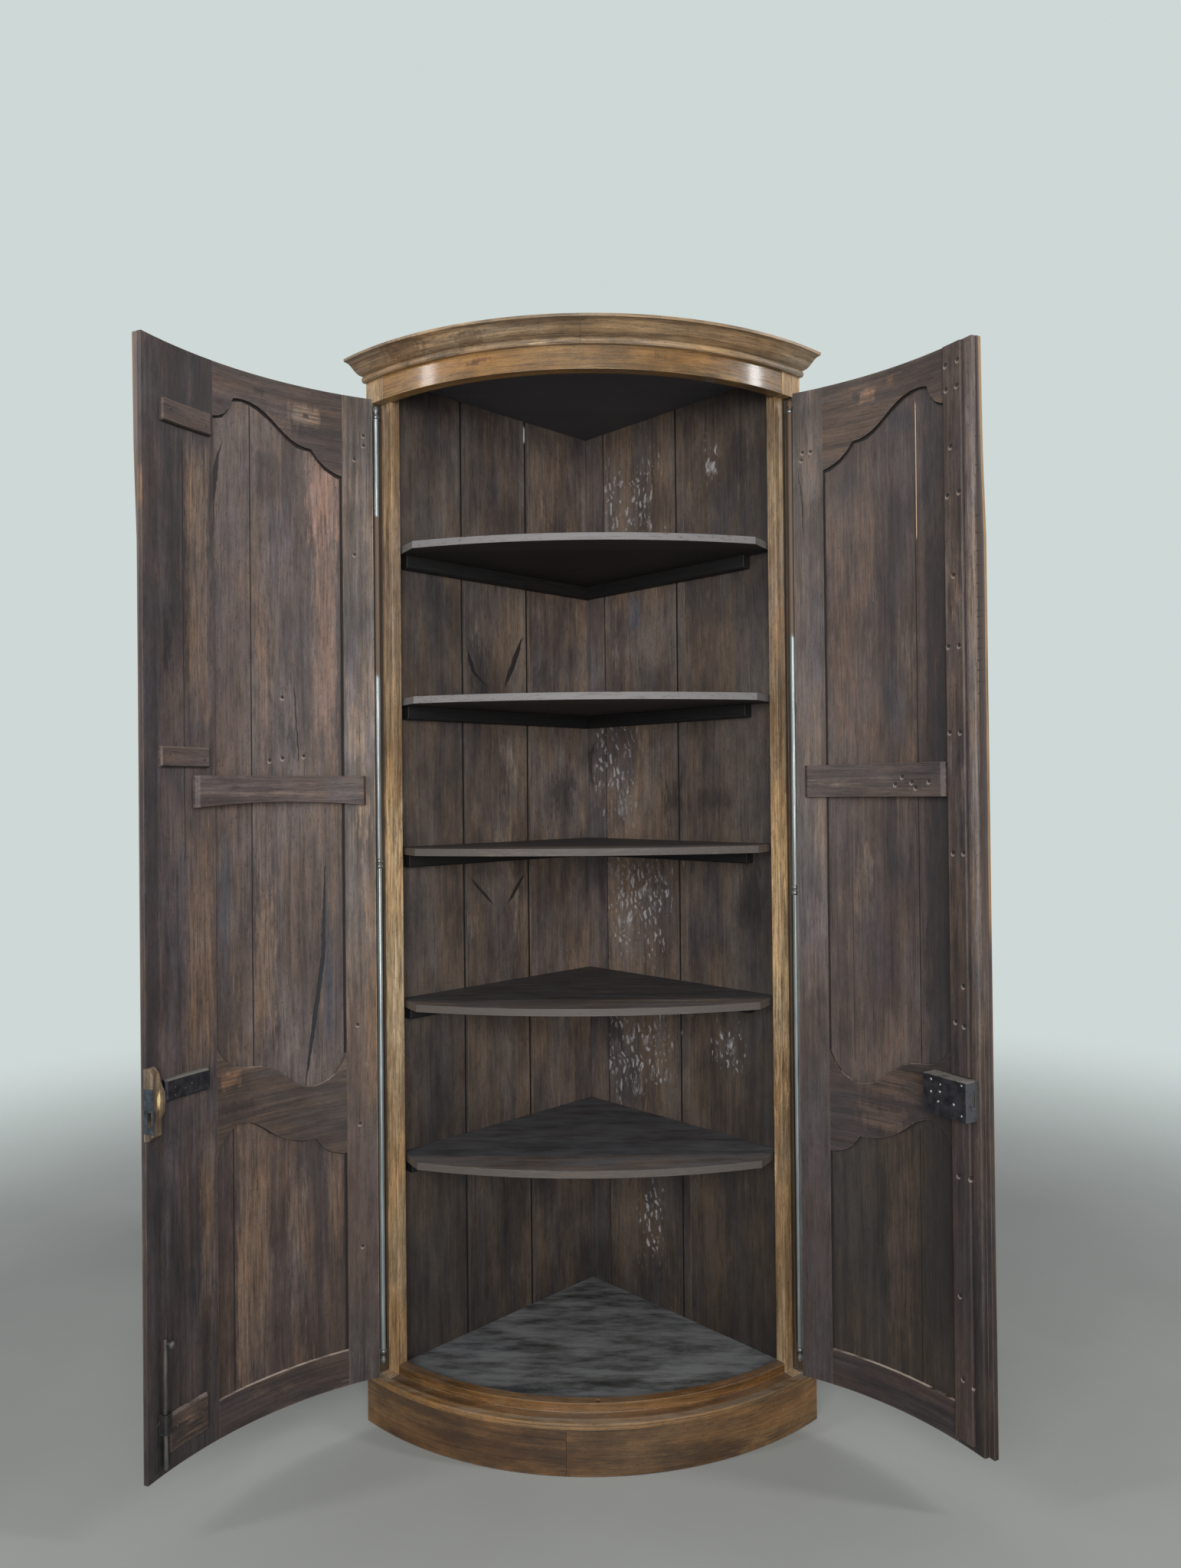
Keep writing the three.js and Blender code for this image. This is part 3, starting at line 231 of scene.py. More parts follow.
def studs(name, places, outward, radius, height, corners=12):
    """Nail heads: a low dome of rings turned about each outward direction. Every head is a
    little oval, by a sine of its number."""
    places = np.asarray(places, float).reshape(-1, 3)
    outward = np.broadcast_to(np.asarray(outward, float), places.shape)
    number = np.arange(len(places))[:, None, None]
    upright = np.array([0.0, 0.0, 1.0])
    level = np.cross(outward, upright)
    level /= np.linalg.norm(level, axis=1)[:, None]
    rise = np.cross(level, outward)
    turn = np.linspace(0, 2 * math.pi, corners, endpoint=False)[None, None, :]
    oval = 1 + 0.16 * np.sin(number * 2.3 + turn * 2)
    spread = radius * dome[None, :, 0, None] * oval * (1 + 0.12 * np.sin(number * 5.1))
    depth = height * dome[None, :, 1, None] * np.ones_like(spread)
    points = (places[:, None, None, :]
              + level[:, None, None, :] * (spread * np.cos(turn))[..., None]
              + rise[:, None, None, :] * (spread * np.sin(turn))[..., None]
              + outward[:, None, None, :] * depth[..., None])
    return closed_skins(name, points)


def turned_about(name, centre, profile, corners=20):
    """A turned piece on an upright axis: rings of radius and height about the axis."""
    profile = np.asarray(profile, float)
    turn = np.linspace(0, 2 * math.pi, corners, endpoint=False)[None, :]
    x = centre[0] + profile[:, 0, None] * np.cos(turn)
    y = centre[1] + profile[:, 0, None] * np.sin(turn)
    z = np.broadcast_to(profile[:, 1, None], x.shape)
    return closed_skins(name, np.stack([x, y, z], axis=-1))


# Shader shorthand

def tone(code):
    """A colour from its six-digit code, as linear light."""
    channels = np.array([int(code[i:i + 2], 16) for i in (0, 2, 4)]) / 255
    linear = np.where(channels <= 0.04045, channels / 12.92, ((channels + 0.055) / 1.055) ** 2.4)
    return (*(float(v) for v in linear), 1.0)


def put(tree, kind, inputs=None, **settings):
    """Adds one shader node; inputs take a value or another node's output."""
    node = tree.nodes.new(kind)
    for key, value in settings.items():
        setattr(node, key, value)
    for key, value in (inputs or {}).items():
        if isinstance(value, bpy.types.NodeSocket):
            tree.links.new(value, node.inputs[key])
        else:
            node.inputs[key].default_value = value
    return node


def maths(tree, operation, first, second=0.0, clamp=False):
    node = put(tree, "ShaderNodeMath", {0: first, 1: second}, operation=operation, use_clamp=clamp)
    return node.outputs[0]


def times(tree, first, second):
    return maths(tree, "MULTIPLY", first, second)


def plus(tree, first, second, clamp=False):
    return maths(tree, "ADD", first, second, clamp)


def minus(tree, first, second, clamp=False):
    return maths(tree, "SUBTRACT", first, second, clamp)


def scaled(tree, value, factor, shift):
    """A value times a factor, plus a shift."""
    return put(tree, "ShaderNodeMath", {0: value, 1: factor, 2: shift},
               operation="MULTIPLY_ADD").outputs[0]


def between(tree, value, low, high):
    """0 at low, 1 at high, easing in and out."""
    node = put(tree, "ShaderNodeMapRange", {0: value, 1: low, 2: high, 3: 0.0, 4: 1.0},
               interpolation_type="SMOOTHSTEP")
    return node.outputs[0]


def mixed(tree, share, under, over, mode="MIX"):
    node = put(tree, "ShaderNodeMix", {0: share, 6: under, 7: over}, data_type="RGBA",
               blend_type=mode)
    return node.outputs[2]


def toned(tree, share, colour, code):
    """A colour with a share of a tone over it."""
    return mixed(tree, share, colour, tone(code))


def stretched(tree, place, scale, move=(0, 0, 0), turn=(0, 0, 0)):
    node = put(tree, "ShaderNodeMapping",
               {"Vector": place, "Location": move, "Rotation": turn, "Scale": scale})
    return node.outputs[0]


def clouds(tree, place, scale=1.0, detail=2.0, rough=0.5, twist=0.0):
    node = put(tree, "ShaderNodeTexNoise", {
        "Vector": place, "Scale": scale, "Detail": detail, "Roughness": rough,
        "Distortion": twist})
    return node.outputs[0]


def object_place(tree):
    return put(tree, "ShaderNodeTexCoord").outputs["Object"]


def new_group(name, inputs, outputs):
    """A node group with named inputs (name, kind, default) and outputs (name, kind)."""
    tree = bpy.data.node_groups.new(name, "ShaderNodeTree")
    for label, kind, value in inputs:
        socket = tree.interface.new_socket(name=label, in_out="INPUT",
                                           socket_type="NodeSocket" + kind)
        if value is not None:
            socket.default_value = value
    for label, kind in outputs:
        tree.interface.new_socket(name=label, in_out="OUTPUT", socket_type="NodeSocket" + kind)
    return tree, put(tree, "NodeGroupInput").outputs, put(tree, "NodeGroupOutput").inputs


def use_group(tree, group, **inputs):
    """Places a group; an input's name is written with underscores for its spaces."""
    node = put(tree, "ShaderNodeGroup", node_tree=group)
    for label, value in inputs.items():
        socket = node.inputs[label.replace("_", " ").capitalize()]
        if isinstance(value, bpy.types.NodeSocket):
            tree.links.new(value, socket)
        else:
            socket.default_value = value
    return node.outputs


def make_bow_place():
    """Length along a bow, distance from its centre and height, from a place and the centre."""
    tree, given, out = new_group(
        "bow place", [("Centre", "Vector", (0, 0, 0))], [("Place", "Vector")])
    offset = put(tree, "ShaderNodeVectorMath", {0: object_place(tree), 1: given["Centre"]},
                 operation="SUBTRACT").outputs[0]
    part = put(tree, "ShaderNodeSeparateXYZ", {0: offset}).outputs
    forward = times(tree, part[1], -1.0)
    angle = maths(tree, "ARCTAN2", part[0], forward)
    along = times(tree, angle, door_middle)
    radius = maths(tree, "SQRT", plus(tree, times(tree, part[0], part[0]),
                                      times(tree, part[1], part[1])))
    place = put(tree, "ShaderNodeCombineXYZ", {0: along, 1: radius, 2: part[2]}).outputs[0]
    tree.links.new(place, out["Place"])
    return tree


def make_oak_figure():
    """Oak grain that runs along the third direction of its place: wandering bands, fibres and
    pores, and slow changes of colour."""
    tree, given, out = new_group("oak figure", [("Place", "Vector", (0, 0, 0))], [
        ("Bands", "Float"), ("Fibres", "Float"), ("Pores", "Float"), ("Cloud", "Float"),
        ("Height", "Float")])
    place = given["Place"]
    drift = clouds(tree, stretched(tree, place, (5.0, 5.0, 0.9)), detail=2.0)
    drift = times(tree, drift, 0.035)
    shift = put(tree, "ShaderNodeCombineXYZ", {0: drift, 1: drift, 2: 0.0}).outputs[0]
    warped = put(tree, "ShaderNodeVectorMath", {0: place, 1: shift}, operation="ADD").outputs[0]
    bands = clouds(tree, stretched(tree, warped, (55.0, 55.0, 1.7)), detail=4.0, rough=0.6)
    fibres = clouds(tree, stretched(tree, warped, (210.0, 210.0, 9.0)), detail=4.0, rough=0.7)
    hair = clouds(tree, stretched(tree, warped, (560.0, 560.0, 24.0)), detail=2.0)
    pores = between(tree, hair, 0.58, 0.72)
    cloud = clouds(tree, stretched(tree, place, (7.0, 7.0, 3.0), move=(4.1, 2.7, 1.9)), detail=5.0,
                   rough=0.6)
    ridge = plus(tree, times(tree, fibres, 0.9), times(tree, bands, 0.3))
    ridge = minus(tree, ridge, times(tree, pores, 0.5))
    for label, value in (("Bands", bands), ("Fibres", fibres), ("Pores", pores),
                         ("Cloud", cloud), ("Height", ridge)):
        tree.links.new(value, out[label])
    return tree


def make_edge_wear():
    """Where an edge is near: the rounded normal leaves the true one; broken up by clouds."""
    tree, given, out = new_group(
        "edge wear", [("Reach", "Float", 0.002), ("Breakup", "Float", 0.6)], [("Wear", "Float")])
    rounded = put(tree, "ShaderNodeBevel", {"Radius": given["Reach"]}, samples=4).outputs[0]
    true = put(tree, "ShaderNodeNewGeometry").outputs["Normal"]
    same = put(tree, "ShaderNodeVectorMath", {0: rounded, 1: true},
               operation="DOT_PRODUCT").outputs["Value"]
    near = between(tree, same, 0.985, 0.80)
    noise = clouds(tree, stretched(tree, object_place(tree), (38.0, 38.0, 26.0)), detail=4.0,
                   rough=0.65)
    lost = times(tree, noise, given["Breakup"])
    wear = minus(tree, near, times(tree, lost, 1.5), clamp=True)
    tree.links.new(wear, out["Wear"])
    return tree


def make_settled_dust():
    """Dust on faces that look up, thicker in patches."""
    tree, given, out = new_group("settled dust", [("Amount", "Float", 0.5)], [("Dust", "Float")])
    normal = put(tree, "ShaderNodeNewGeometry").outputs["Normal"]
    up = between(tree, put(tree, "ShaderNodeSeparateXYZ", {0: normal}).outputs[2], 0.55, 0.95)
    strokes = stretched(tree, object_place(tree), (7.0, 26.0, 14.0), turn=(0.0, 0.0, 0.5))
    patch = between(tree, clouds(tree, strokes, detail=7.0, rough=0.68), 0.30, 0.66)
    amount = times(tree, times(tree, up, patch), given["Amount"])
    tree.links.new(amount, out["Dust"])
    return tree


def make_ragged_mark():
    """A rectangular mark with ragged sides and long soft ends: 1 inside, 0 outside."""
    tree, given, out = new_group("ragged mark", [
        ("Place", "Vector", (0, 0, 0)), ("Middle", "Vector", (0, 0, 0)),
        ("Reach", "Vector", (1, 1, 1)), ("Ragged", "Float", 0.5)], [("Mask", "Float")])
    offset = put(tree, "ShaderNodeVectorMath", {0: given["Place"], 1: given["Middle"]},
                 operation="SUBTRACT").outputs[0]
    share = put(tree, "ShaderNodeVectorMath", {0: offset, 1: given["Reach"]},
                operation="DIVIDE").outputs[0]
    share = put(tree, "ShaderNodeVectorMath", {0: share}, operation="ABSOLUTE").outputs[0]
    share = put(tree, "ShaderNodeSeparateXYZ", {0: share}).outputs
    noise = clouds(tree, stretched(tree, given["Place"], (110.0, 110.0, 22.0)), detail=5.0,
                   rough=0.7)
    push = times(tree, minus(tree, noise, 0.5), given["Ragged"])
    push = times(tree, push, 4.0)
    sides = between(tree, plus(tree, share[0], push), 1.15, 0.55)
    ends = between(tree, plus(tree, share[2], push), 1.15, 0.35)
    tree.links.new(times(tree, sides, ends), out["Mask"])
    return tree


def make_fine_scratches():
    """Short pale scratches in two slanting directions."""
    tree, given, out = new_group("fine scratches", [
        ("Place", "Vector", (0, 0, 0)), ("Density", "Float", 0.5)], [("Mask", "Float")])
    one = clouds(tree, stretched(tree, given["Place"], (260.0, 260.0, 26.0),
                                 turn=(0.0, 0.6, 0.0)), detail=3.0, rough=0.6)
    two = clouds(tree, stretched(tree, given["Place"], (240.0, 240.0, 22.0),
                                 turn=(0.0, -0.45, 0.0), move=(3, 1, 2)), detail=3.0, rough=0.6)
    best = maths(tree, "MAXIMUM", one, two)
    limit = minus(tree, 0.86, times(tree, given["Density"], 0.22))
    mask = between(tree, minus(tree, best, limit), 0.0, 0.03)
    tree.links.new(mask, out["Mask"])
    return tree


def make_paste_dabs():
    """Small pale dabs in slanting rows, as dried paste leaves them."""
    tree, given, out = new_group("paste dabs", [("Place", "Vector", (0, 0, 0))],
                                 [("Mask", "Float")])
    turned = stretched(tree, given["Place"], (52.0, 1.0, 30.0), turn=(0.0, 0.42, 0.0))
    part = put(tree, "ShaderNodeSeparateXYZ", {0: turned}).outputs
    wobble = clouds(tree, stretched(tree, given["Place"], (14.0, 14.0, 14.0)), detail=3.0)
    row = plus(tree, part[2], times(tree, wobble, 2.6))
    column = plus(tree, part[0], times(tree, maths(tree, "FLOOR", row), 0.37))
    column = plus(tree, column, times(tree, wobble, 4.4))
    near_row = maths(tree, "PINGPONG", row, 0.5)
    near_column = maths(tree, "PINGPONG", column, 0.5)
    dab = times(tree, between(tree, near_row, 0.08, 0.2), between(tree, near_column, 0.24, 0.34))
    smear = between(tree, wobble, 0.56, 0.66)
    dab = maths(tree, "MAXIMUM", dab, times(tree, smear, 0.5))
    worn = between(tree, clouds(tree, stretched(tree, given["Place"], (46.0, 46.0, 30.0)),
                                detail=4.0, rough=0.62), 0.44, 0.56)
    tree.links.new(times(tree, dab, worn), out["Mask"])
    return tree


bow_place_group = make_bow_place()
oak_figure_group = make_oak_figure()
edge_wear_group = make_edge_wear()
settled_dust_group = make_settled_dust()
ragged_mark_group = make_ragged_mark()
fine_scratches_group = make_fine_scratches()
paste_dabs_group = make_paste_dabs()

carcass_centre = (0.0, bow_setback, 0.0)


def place_on(tree, setting):
    """Place of a surface point: on a bow (length, radius, height) or on a wall or shelf
    (length, depth, height)."""
    kind, value = setting
    if kind == "bow":
        return use_group(tree, bow_place_group, centre=value)["Place"]
    if kind == "wall":
        turn = math.radians(45 if value == RIGHT else 135)
        return stretched(tree, object_place(tree), (1, 1, 1), move=(0.01, 0, 0),
                         turn=(0, 0, turn))
    return object_place(tree)


def grain_of(tree, place, direction, seed):
    """Swaps directions so that the grain runs along the third one, and shifts to fresh wood."""
    part = put(tree, "ShaderNodeSeparateXYZ", {0: place}).outputs
    order = {"up": (0, 1, 2), "along": (2, 1, 0)}[direction]
    swapped = put(tree, "ShaderNodeCombineXYZ", {i: part[k] for i, k in enumerate(order)})
    move = (seed * 1.37 + 0.2, seed * 0.71 + 0.5, seed * 2.13)
    return stretched(tree, swapped.outputs[0], (1, 1, 1), move=move), part


def start_material(name):
    material = bpy.data.materials.new(name)
    material.use_nodes = True
    tree = material.node_tree
    tree.nodes.clear()
    shader = put(tree, "ShaderNodeBsdfPrincipled")
    target = put(tree, "ShaderNodeOutputMaterial")
    tree.links.new(shader.outputs[0], target.inputs[0])
    return material, tree, shader


def darkened(tree, colour, amount):
    """A colour times an amount of light."""
    node = put(tree, "ShaderNodeVectorMath", {0: colour, "Scale": amount}, operation="SCALE")
    return node.outputs[0]


def crack_line(tree, part, points, width, wobble):
    """A crack through places (length along, height), from the highest down: 1 on it, 0 beside
    it. It narrows to nothing at both ends."""
    points = sorted(points, key=lambda point: point[1])
    along = points[0][0]
    for (near, low), (far, high) in zip(points, points[1:]):
        share = put(tree, "ShaderNodeMapRange", {0: part[2], 1: low, 2: high, 3: 0.0,
                                                 4: far - near}).outputs[0]
        along = plus(tree, along, share)
    offset = plus(tree, minus(tree, part[0], along), wobble)
    low, high = points[0][1], points[-1][1]
    swell = times(tree, between(tree, part[2], low, low + (high - low) * 0.35),
                  between(tree, part[2], high, high - (high - low) * 0.35))
    half = scaled(tree, swell, width, 0.00001)
    share = maths(tree, "DIVIDE", maths(tree, "ABSOLUTE", offset), half)
    return times(tree, between(tree, share, 1.15, 0.75), between(tree, swell, 0.0, 0.1))


def spot_mask(tree, place, middle, reach, ragged):
    """A ragged mark at (length along, height), through the whole depth."""
    return use_group(tree, ragged_mark_group, place=place, middle=(middle[0], 0.0, middle[1]),
                     reach=(reach[0], 1000.0, reach[1]), ragged=ragged)["Mask"]


def oak(name, setting, direction, seed, dark, mid, light, patch=0.5, streak=0.5, contrast=1.0,
        rough=0.62, dust=0.3, dust_tone="a3958b", wear=0.6, wear_tone="8d6f4f", outside=None,
        seams=(), cracks=(), marks=(), holes=(), ticks=(), scratches=0.0, scratch_tone="a8a49d",
        paste=(), relief=0.4, coat=0.0, coat_rough=0.3, front=None, rim=None, band=None, level=1.0,
        fade=None, foot=None, under=None, stain=None, groove=None):
    """An old oak surface. Bands and clouds carry the colour from dark to mid, patches show
    lighter wood, fibres and pores shade it, seams, cracks and holes cut it, and dust and worn
    edges lighten it. Level is the whole surface's lightness; the painted light along the piece
    changes it from one length and its level to another. Foot darkens it evenly towards the floor,
    from a share of its tone there to the full tone at a height. Under is a painted shade: the
    tone of faces that look down. The painted back shade is a dark tone behind a depth, and the
    painted rebate shade a dark tone beyond a length; both are painted shade."""
    material, tree, shader = start_material(name)
    place = place_on(tree, setting)
    grain, part = grain_of(tree, place, direction, seed)
    figure = use_group(tree, oak_figure_group, place=grain)
    streak = streak * 0.7
    body = plus(tree, times(tree, figure["Bands"], streak),
                times(tree, figure["Cloud"], 1.0 - streak))
    colour = mixed(tree, between(tree, body, 0.36, 0.64), tone(dark), tone(mid))
    patches = clouds(tree, stretched(tree, grain, (9.0, 9.0, 2.6), move=(7.3, 1.1, 5.2)),
                     detail=6.0, rough=0.7)
    patches = between(tree, patches, 0.70 - patch * 0.3, 0.84 - patch * 0.26)
    fresh = between(tree, figure["Fibres"], 0.34, 0.60)
    colour = toned(tree, times(tree, patches, fresh), colour, light)
    height = figure["Height"]
    gloss = scaled(tree, figure["Fibres"], 0.24, rough - 0.12)
    streaky = scaled(tree, fresh, 0.5, 0.5)
    for middle, reach, ragged, code, strength in marks:
        spot = spot_mask(tree, place, middle, reach, ragged)
        spot = times(tree, times(tree, spot, strength), streaky)
        colour = toned(tree, spot, colour, code)
    shade = scaled(tree, figure["Fibres"], 1.7 * contrast, 0.94 - 0.85 * contrast)
    shade = plus(tree, shade, times(tree, minus(tree, figure["Bands"], 0.5), 0.45 * contrast))
    mottle = clouds(tree, stretched(tree, grain, (36.0, 36.0, 14.0), move=(3.3, 8.1, 2.2)),
                    detail=8.0, rough=0.74)
    shade = plus(tree, shade, times(tree, minus(tree, mottle, 0.5), 1.5))
    slow = clouds(tree, stretched(tree, grain, (13.0, 13.0, 3.6), move=(1.3, 4.1, 7.2)),
                  detail=5.0, rough=0.65)
    colour = mixed(tree, 1.0, colour, mixed(tree, between(tree, slow, 0.38, 0.62), (
        0.91, 0.96, 1.06, 1.0), (1.10, 1.01, 0.90, 1.0)), "MULTIPLY")
    shade = times(tree, shade, level)
    if foot:
        foot_share, clear_height = foot
        rise = put(tree, "ShaderNodeMapRange", {0: part[2], 1: 0.1, 2: clear_height,
                                                3: foot_share, 4: 1.0}).outputs[0]
        shade = times(tree, shade, rise)
    # Painted light and shade along the piece: its level runs from one length's level to another's.
    if fade:
        (near, near_level), (far, far_level) = fade
        lift = put(tree, "ShaderNodeMapRange", {0: part[0], 1: near, 2: far, 3: near_level,
                                                4: far_level}).outputs[0]
        shade = times(tree, shade, lift)
    colour = darkened(tree, colour, maths(tree, "MAXIMUM", shade, 0.15))
    wobble = times(tree, minus(tree, figure["Cloud"], 0.5), 0.003)
    for middle_along, low, high, width, code in seams:
        line = maths(tree, "ABSOLUTE", plus(tree, minus(tree, part[0], middle_along), wobble))
        line = between(tree, line, width, width * 0.5)
        inside = times(tree, between(tree, part[2], low - 0.01, low + 0.004),
                       between(tree, part[2], high + 0.01, high - 0.004))
        line = times(tree, line, inside)
        colour = toned(tree, line, colour, code)
        height = minus(tree, height, times(tree, line, 1.2))
    if cracks:
        rough_side = clouds(tree, stretched(tree, place, (140.0, 140.0, 60.0)), detail=3.0)
        rough_side = times(tree, minus(tree, rough_side, 0.5), 0.006)
    for points, width, code in cracks:
        line = crack_line(tree, part, points, width, rough_side)
        colour = toned(tree, line, colour, code)
        height = minus(tree, height, times(tree, line, 1.4))
    colour = toned(tree, times(tree, figure["Pores"], 0.5), colour, "1a1412")
    specks = clouds(tree, stretched(tree, grain, (330.0, 330.0, 120.0)), detail=3.0, rough=0.65)
    colour = toned(tree, times(tree, between(tree, specks, 0.58, 0.68), 0.5), colour, "1c1614")
    if holes:
        colour, height = with_holes(tree, place, colour, height, holes)
    for limit, tick_heights in ticks:
        outer = between(tree, part[1], limit - 0.0004, limit + 0.0004)
        for tick_height in tick_heights:
            line = maths(tree, "ABSOLUTE", minus(tree, part[2], tick_height))
            line = times(tree, between(tree, line, 0.0022, 0.0008), outer)
            colour = toned(tree, times(tree, line, 0.8), colour, "16100d")
    if scratches:
        lines = use_group(tree, fine_scratches_group, place=grain, density=scratches)["Mask"]
        colour = toned(tree, times(tree, lines, 0.35), colour, scratch_tone)
    for middle, reach in paste:
        spot = spot_mask(tree, place, middle, reach, 1.5)
        dabs = use_group(tree, paste_dabs_group, place=place)["Mask"]
        dabs = times(tree, times(tree, spot, dabs), between(tree, part[1], 0.002, -0.002))
        colour = toned(tree, times(tree, dabs, 0.8), colour, "a6a3a5")
        height = plus(tree, height, times(tree, dabs, 0.35))
    edge = use_group(tree, edge_wear_group, reach=0.0024, breakup=0.62)["Wear"]
    colour = toned(tree, times(tree, edge, wear), colour, wear_tone)
    if band:
        low, high, code = band
        inside = times(tree, between(tree, part[1], low - 0.0005, low + 0.0005),
                       between(tree, part[1], high + 0.0005, high - 0.0005))
        inside = times(tree, inside, between(tree, part[2], 0.9, 1.3))
        colour = toned(tree, times(tree, inside, 0.85), colour, code)
    # Painted shade in a rebate: a dark tone beyond a length and inside a radius.
    if groove:
        side, length, limit, code = groove
        beyond = between(tree, times(tree, part[0], side), length, length + 0.001)
        beyond = times(tree, beyond, between(tree, part[1], limit + 0.001, limit))
        colour = toned(tree, times(tree, beyond, 0.9), colour, code)
    # Painted shade behind a depth: the back of a shelf top is darker, where the shelf above shades
    # it.
    if stain:
        depth, code, strength = stain
        ragged = scaled(tree, figure["Cloud"], 0.05, -0.025)
        behind = between(tree, plus(tree, part[1], ragged), depth, depth + 0.012)
        swirl = times(tree, behind, scaled(tree, fresh, -0.25, 1.0))
        colour = toned(tree, times(tree, swirl, strength), colour, code)
    if rim:
        share = between(tree, part[1], rim[0] - 0.001, rim[0] + 0.001)
        share = times(tree, share, between(tree, part[2], rim[2] - 0.1, rim[2]))
        share = times(tree, share, streaky)
        colour = toned(tree, share, colour, rim[1])
    if outside:
        limit, out_dark, out_light = outside
        face = between(tree, part[1], limit - 0.0004, limit + 0.0004)
        polish = mixed(tree, between(tree, figure["Bands"], 0.36, 0.62), tone(out_dark),
                       tone(out_light))
        calm = scaled(tree, shade, 0.5, 0.45)
        polish = darkened(tree, polish, maths(tree, "MAXIMUM", calm, 0.5))
        polish = toned(tree, times(tree, figure["Pores"], 0.4), polish, "2a1c12")
        colour = mixed(tree, face, colour, polish)
        gloss = minus(tree, gloss, times(tree, face, 0.2))
    normal = put(tree, "ShaderNodeNewGeometry").outputs["Normal"]
    if front:
        forward = put(tree, "ShaderNodeSeparateXYZ", {0: normal}).outputs[1]
        facing = times(tree, between(tree, forward, -0.3, -0.6),
                       between(tree, figure["Fibres"], 0.25, 0.5))
        colour = toned(tree, facing, colour, front)
    # Painted shade: faces that look down take a dark tone.
    if under:
        down = put(tree, "ShaderNodeSeparateXYZ", {0: normal}).outputs[2]
        down = times(tree, between(tree, down, -0.4, -0.8), 0.85)
        colour = toned(tree, down, colour, under)
    settled = use_group(tree, settled_dust_group, amount=dust)["Dust"]
    colour = toned(tree, settled, colour, dust_tone)
    gloss = plus(tree, gloss, times(tree, settled, 0.25), clamp=True)
    bump = put(tree, "ShaderNodeBump", {"Strength": relief, "Distance": 0.0014, "Height": height})
    tree.links.new(colour, shader.inputs["Base Color"])
    tree.links.new(gloss, shader.inputs["Roughness"])
    tree.links.new(bump.outputs[0], shader.inputs["Normal"])
    if coat:
        shader.inputs["Coat Weight"].default_value = coat
        shader.inputs["Coat Roughness"].default_value = coat_rough
    return material


def with_holes(tree, place, colour, height, holes):
    """Nail and peg holes at (length along, height, radius): dark, with a pale lower lip of painted
    light.
    """
    part = put(tree, "ShaderNodeSeparateXYZ", {0: place}).outputs
    flat = put(tree, "ShaderNodeCombineXYZ", {0: part[0], 1: 0.0, 2: part[2]}).outputs[0]
    for along, hole_height, radius in holes:
        away = put(tree, "ShaderNodeVectorMath", {0: flat, 1: (along, 0.0, hole_height)},
                   operation="DISTANCE").outputs["Value"]
        lip = put(tree, "ShaderNodeVectorMath", {
            0: flat, 1: (along + radius * 0.3, 0.0, hole_height - radius * 0.7)},
            operation="DISTANCE").outputs["Value"]
        # Painted light: the pale crescent on the hole's lower lip, where light falls into the
        # hole.
        pale = between(tree, lip, radius * 1.25, radius * 0.95)
        deep = between(tree, away, radius * 1.1, radius * 0.75)
        colour = toned(tree, times(tree, pale, 0.55), colour, "9a8b80")
        colour = toned(tree, times(tree, deep, 0.92), colour, "0f0b0a")
        height = minus(tree, height, times(tree, deep, 2.0))
    return colour, height


